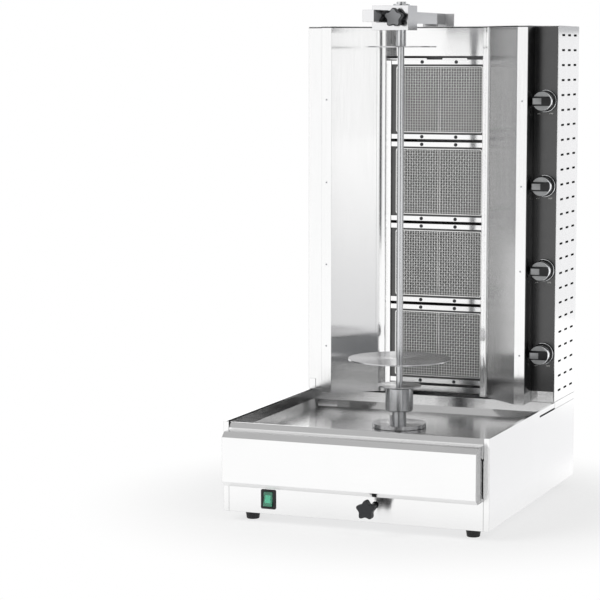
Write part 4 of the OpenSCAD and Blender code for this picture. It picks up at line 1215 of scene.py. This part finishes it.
@dataclass
class SpitDrive:
    """The spit, its drive below the pan, its bearing above and the two star knobs."""

    star_mm: tuple[float, float] = (41.0, 16.0)
    front_long_mm: float = 34.0
    top_long_mm: float = 27.0
    cover_mm: tuple[float, float] = (36.9, 3.0)
    lobes: int = 5
    waist: float = 0.7
    turn_deg: float = 9.0
    bolt: Screw = Screw(8.0, 2.0, 16)
    bolt_in_mm: tuple[float, float] = (7.0, 8.0)
    bolt_pitch_mm: float = 14.0

    def build(self) -> None:
        """Models a star knob for the carriage and one for the bearing, and the arm's bolts."""
        rod = middle("clamp_rod")
        nose = Vector((rod.x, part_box("front_knob")[0][1], rod.z))
        self.knob("star_front", nose, self.front_long_mm, "front_knob")
        nose = Vector((SPIT_X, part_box("top_knob")[0][1], middle("bearing_block").z))
        self.knob("star_top", nose + Vector((0, 0.5 * MM, 0)), self.top_long_mm, "top_knob")
        # A grey cover over the upper knob's face: painted sheen.
        face = self.star("star_top_face_painted_sheen", nose, *self.cover_mm)
        hand_over(face, STAR_FACE_SHEEN, "top_knob", "black_plastic", ("top_knob",), 50)
        self.bolts()

    def knob(self, name: str, nose: Vector, long_mm: float, body: str) -> None:
        """Puts a lobed head on a tapered hub.

        Args:
            name: The piece's name.
            nose: The middle of its face.
            long_mm: Length from the face to the end of the hub.
            body: The body that it turns with, and the node that it replaces.
        """
        head = self.star(name, nose, *self.star_mm)
        deep = self.star_mm[1]
        profile = ((9, deep - 4), (11.2, deep - 2), (10.6, deep + 1), (8.4, long_mm - 0.8), (7.6, long_mm))
        hub = turned("hub", profile, nose, Axis.BACK, 40)
        hand_over(joined(name, head, hub), STAR_PLASTIC, body, "black_plastic", (body,), 50)

    def star(self, name: str, nose: Vector, d: float, deep: float) -> Object:
        """Models a lobed head and rounds it by subdivision.

        Args:
            name: The piece's name.
            nose: The middle of its face.
            d: Diameter over the lobes.
            deep: Depth from face to back.

        Returns:
            The head.
        """
        deselect()
        bpy.ops.mesh.primitive_cylinder_add(vertices=self.lobes * 4, radius=d * MM / 2, depth=deep * MM,
                                            rotation=(math.pi / 2, 0, 0),
                                            location=nose + Vector((0, deep * MM / 2, 0)))
        head = settle(name)
        step = math.tau / self.lobes
        with editing(head):
            bpy.ops.mesh.select_all(action="SELECT")
            bpy.ops.transform.rotate(value=math.radians(self.turn_deg), orient_axis="Y", center_override=nose)
            pick(head, Pick.POINTS, lambda at, normal: self.lobe_offset(at - nose, step) > 0.25)
            bpy.ops.transform.resize(value=(self.waist, 1, self.waist), center_override=nose)
            for way in (-1, 1):
                pick(head, Pick.FACES, lambda at, normal: normal.y * way > 0.9)
                bpy.ops.mesh.inset(thickness=1.3 * MM)
                pick(head, Pick.FACES, lambda at, normal: normal.y * way > 0.9
                     and (at - nose).xz.length < 1 * MM)
                bpy.ops.mesh.inset(thickness=3.5 * MM)
            pick(head, Pick.EDGES, lambda mid, run: abs(run.y) > 0.7 * deep * MM)
            bpy.ops.mesh.subdivide(number_cuts=2)
        refine(head, "SUBSURF", levels=2, render_levels=2)
        reach = max((point.co - nose).xz.length for point in head.data.vertices)
        grow = d * MM / 2 / reach
        with editing(head):
            bpy.ops.mesh.select_all(action="SELECT")
            bpy.ops.transform.resize(value=(grow, 1, grow), center_override=nose)
        return head

    @staticmethod
    def lobe_offset(at: Vector, step: float) -> float:
        """How far a point lies from the middle of its lobe, as a share of the lobe's angle."""
        turn = (math.atan2(at.z, at.x) - math.pi / 2) % step
        return min(turn, step - turn) / step

    def bolts(self) -> None:
        """Sets two bolts through the arm's ear."""
        low, high = corners("arm_bracket")
        side, rise = (value * MM for value in self.bolt_in_mm)
        places = [(high.x - side, high.y, low.z + rise + i * self.bolt_pitch_mm * MM) for i in range(2)]
        first = self.bolt.build("arm_bolt_1", places[0], Axis.BACK)
        repeat(first, "arm_bolt", places, SCREW_ZINC, "chassis", "stainless_sheet")

    def dress(self) -> None:
        """Gives the spit, its drive and its bearing their steel."""
        dress(BAR_TURNED, "drive_shaft", "spit_cup", "spit_rod", "bearing_sleeve")
        dress(ROD_BLACK, "clamp_rod")
        dress(DISC_TURNED, "turntable", "splash_disc", "meat_disc", "upper_disc")
        dress(BAR_GROUND, "top_arm", "bearing_block")
        dress(BRACKET, "arm_bracket")
        dress(SHEET_MILL, "carriage_rails", "carriage_plate")
        dress(CASTING, "gear_motor")


@dataclass(frozen=True)
class Card:
    """A grey card that only mirrors see; soft is the share of each half side over which it fades out."""

    name: str
    place: Place
    size: tuple[float, float]
    turn_deg: float
    near: str
    far: str
    shade: Shade = Shade.ALONG
    soft: tuple[float, float] = (0.0, 0.0)
    upright: bool = True
    plateau: float = 0.4

    def build(self, strength: float) -> None:
        """Stands or lays the card in the studio, with a glow of a given strength."""
        deselect()
        bpy.ops.mesh.primitive_plane_add(size=1.0)
        sheet = bpy.context.object
        sheet.name = self.name
        sheet.scale = (*self.size, 1)
        bpy.ops.object.transform_apply(scale=True)
        sheet.location = self.place
        sheet.rotation_euler = (math.pi / 2 if self.upright else 0, 0, math.radians(self.turn_deg))
        paint = bpy.data.materials.new(f"{self.name}_grey")
        paint.use_nodes = True
        tree = paint.node_tree
        tree.nodes.remove(tree.nodes["Principled BSDF"])
        apart = add_node(tree, "ShaderNodeSeparateXYZ", {0: object_place(tree)})
        glow = add_node(tree, "ShaderNodeEmission", {"Color": self.grey(tree, apart)}, {"Strength": strength})
        shown = glow.outputs[0]
        for side, reach, share in zip("XY", self.size, self.soft):
            if share:
                off = reckon(tree, MATHS, "ABSOLUTE", apart.outputs[side]).outputs[0]
                clear = ramp(tree, off, (reach / 2 * (1 - share), reach / 2), kind="SMOOTHSTEP")
                gone = add_node(tree, "ShaderNodeBsdfTransparent").outputs[0]
                shown = add_node(tree, "ShaderNodeMixShader", {0: clear, 1: shown, 2: gone}).outputs[0]
        tree.links.new(shown, tree.nodes["Material Output"].inputs["Surface"])
        sheet.data.materials.append(paint)
        sheet.visible_camera = sheet.visible_diffuse = sheet.visible_shadow = False

    def grey(self, tree: Tree, apart: Node) -> Any:
        """Runs the card's grey from one hex colour to the other.

        Args:
            tree: The card's node tree.
            apart: The node that gives the place on the card, axis by axis.

        Returns:
            The colour's socket.
        """
        rising = self.shade is Shade.UP
        along = apart.outputs["Y" if rising else "X"]
        half = self.size[1 if rising else 0] / 2
        start = -half
        if self.shade is Shade.MIDDLE:
            along, start = reckon(tree, MATHS, "ABSOLUTE", along).outputs[0], self.plateau * half
        return mixed(tree, ramp(tree, along, (start, half), kind="SMOOTHSTEP"), self.near, self.far)


CARDS = (
    # The dark side of the room, behind the camera: it draws dark lines down round bars and bends.
    Card("card_room", (1.9, -6.2, 1.4), (6.0, 3.4), 0, "#2E2F31", "#FFFFFF", Shade.MIDDLE),
    # The room to the right, which the left wing mirrors: a dark foot with a hard edge and a haze above it.
    Card("card_foot", (0.4665, -0.132, 0.131), (0.8, 0.258), 61.2, "#6A6B6D", "#626365", soft=(0.5, 0.0)),
    Card("card_haze", (0.4665, -0.132, 0.51), (0.8, 0.5), 61.2, "#DCDCDD", "#FFFFFF", Shade.UP, (0.5, 0.0)),
    # The open room to the right and to the left: the spit and the right wing mirror it as grey streaks.
    Card("card_right", (1.0, 0.3, 0.75), (1.2, 1.2), 90, "#3E3F41", "#4A4B4D", soft=(0.6, 0.6)),
    Card("card_left", (-1.0, 0.0, 0.5), (1.2, 1.6), -90, "#0A0A0B", "#A4A5A7", Shade.UP, (0.6, 0.3)),
    # The dark upper room to the right, which the pan mirrors by way of the left wing.
    Card("card_high", (5.1, -2.7, 2.65), (5.0, 2.9), 61.2, "#3C3D3F", "#3C3D3F", soft=(0.4, 0.3)),
    # A white strip in the throat that glows for mirrors only: the wall beside the burners mirrors it as a
    # painted highlight, as the photograph shows it.
    Card("card_throat_painted_highlight", (-0.104, 0.2345, 0.59), (0.0175, 0.74), 0, "#FFFFFF", "#FFFFFF"),
    # A grey wall behind, darker above the housing: the sides and the arm mirror it and stand off the white.
    Card("card_wall", (1.3, 3.0, 1.75), (3.4, 1.4), 0, "#B5B6B8", "#B5B6B8", soft=(0.5, 0.0)),
    Card("card_wall_foot", (1.5, 3.0, 0.55), (3.4, 1.0), 0, "#EBEBEC", "#EBEBEC", soft=(0.5, 0.0)),
    # A pale grey floor beside the cabinet, which its side mirrors.
    Card("card_floor", (0.66, 0.65, 0.003), (0.72, 1.9), 0, "#E9E9EA", "#DEDEDF", soft=(0.3, 0.3),
         upright=False),
)


@dataclass
class Studio:
    """White sweep, soft light, cards that the steel mirrors, and the camera."""

    camera_at: Place = (1.5387, -4.4676, 0.9703)
    yaw_deg: float = 21.721
    down_deg: float = 6.336
    lens_mm: float = 131.81
    sensor_mm: float = 36.0
    ambient: float = 0.4
    mirrored: float = 1.5
    overhead: float = 0.45
    floor_size: float = 14.0
    floor_fade: tuple[float, float] = (0.38, 0.75)
    floor_glow: float = 0.7
    lamp_size: float = 2.4

    def build(self) -> None:
        """Sets up camera, room, floor, lamps and cards."""
        self.camera()
        self.room()
        self.floor()
        self.lamp("lamp_key", (-2.6, -3.6, 2.8), 115.0)
        self.lamp("lamp_fill", (3.0, -2.4, 2.8), 30.0)
        for card in CARDS:
            card.build(self.mirrored)
        bpy.context.scene.view_settings.view_transform = "Standard"

    def camera(self) -> None:
        """Places the camera as the photograph's was."""
        lens = bpy.data.cameras.new("camera")
        lens.lens, lens.sensor_width = self.lens_mm, self.sensor_mm
        lens.sensor_fit = "HORIZONTAL"
        lens.dof.use_dof = False
        eye = bpy.data.objects.new("camera", lens)
        eye.location = self.camera_at
        eye.rotation_euler = (math.radians(90 - self.down_deg), 0, math.radians(self.yaw_deg))
        bpy.context.scene.collection.objects.link(eye)
        bpy.context.scene.camera = eye

    @staticmethod
    def seen(path: Node, tree: Tree) -> Any:
        """A socket that is 1 for what the eye, metal or glass sees, and 0 for light on matt surfaces."""
        rays = [path.outputs[f"Is {kind} Ray"] for kind in ("Camera", "Glossy", "Transmission")]
        direct = reckon(tree, MATHS, "MAXIMUM", rays[0], rays[1]).outputs[0]
        return reckon(tree, MATHS, "MAXIMUM", direct, rays[2]).outputs[0]

    def room(self) -> None:
        """Makes the room white to the eye, brighter with a grey top in mirrors, and soft as a light."""
        world = bpy.data.worlds.new("studio")
        world.use_nodes = True
        tree = world.node_tree
        way = add_node(tree, "ShaderNodeTexCoord").outputs["Generated"]
        height = add_node(tree, "ShaderNodeSeparateXYZ", {0: way}).outputs["Z"]
        roof = ramp(tree, height, (0.3, 0.85), (self.mirrored, self.mirrored * self.overhead), "SMOOTHSTEP")
        path = add_node(tree, "ShaderNodeLightPath")
        mirror = add_node(tree, "ShaderNodeMix", {0: path.outputs["Is Glossy Ray"], 3: roof},
                          {2: 1.0}).outputs[0]
        level = add_node(tree, "ShaderNodeMix", {0: self.seen(path, tree), 3: mirror},
                         {2: self.ambient}).outputs[0]
        sky = tree.nodes["Background"]
        sky.inputs["Color"].default_value = (1, 1, 1, 1)
        tree.links.new(level, sky.inputs["Strength"])
        bpy.context.scene.world = world

    def floor(self) -> None:
        """Lays a white floor that keeps the object's shadow and fades to the white of the room."""
        deselect()
        bpy.ops.mesh.primitive_plane_add(size=self.floor_size)
        sweep = settle("floor")
        paint = bpy.data.materials.new("paper_sweep_white")
        paint.use_nodes = True
        tree = paint.node_tree
        tree.nodes.remove(tree.nodes["Principled BSDF"])
        far = reckon(tree, VECTORS, "LENGTH", object_place(tree)).outputs["Value"]
        fade = ramp(tree, far, self.floor_fade, (self.floor_glow, 1.0), "SMOOTHSTEP")
        path = add_node(tree, "ShaderNodeLightPath")
        share = reckon(tree, MATHS, "MULTIPLY", fade, self.seen(path, tree)).outputs[0]
        matt = add_node(tree, "ShaderNodeBsdfDiffuse", values={"Color": linear("#F4F4F4")}).outputs[0]
        level = add_node(tree, "ShaderNodeMix", {0: path.outputs["Is Glossy Ray"]},
                         {2: 1.0, 3: self.mirrored})
        glow = add_node(tree, "ShaderNodeEmission", {"Strength": level.outputs[0]},
                        {"Color": (1, 1, 1, 1)}).outputs[0]
        both = add_node(tree, "ShaderNodeMixShader", {0: share, 1: matt, 2: glow}).outputs[0]
        tree.links.new(both, tree.nodes["Material Output"].inputs["Surface"])
        sweep.data.materials.append(paint)

    def lamp(self, name: str, place: Place, power: float) -> None:
        """Hangs a soft square lamp that looks at the object.

        Args:
            name: The lamp's name.
            place: Where it hangs.
            power: Its power in watts.
        """
        light = bpy.data.lights.new(name, "AREA")
        light.shape, light.size, light.energy = "SQUARE", self.lamp_size, power
        lamp = bpy.data.objects.new(name, light)
        lamp.location = place
        lamp.rotation_euler = (Vector((0, 0, 0.5)) - Vector(place)).to_track_quat("-Z", "Y").to_euler()
        lamp.visible_glossy = False
        bpy.context.scene.collection.objects.link(lamp)


def main() -> None:
    """Builds the studio and each sub-assembly in turn."""
    logging.basicConfig(level=logging.INFO, format="%(name)s: %(message)s")
    Studio().build()
    for assembly in (Cabinet(), Housing(), BurnerStack(), GasControls(), SpitDrive()):
        assembly.build()
        assembly.dress()
        LOG.info("%s is built", type(assembly).__name__)


if __name__ == "__main__":
    main()
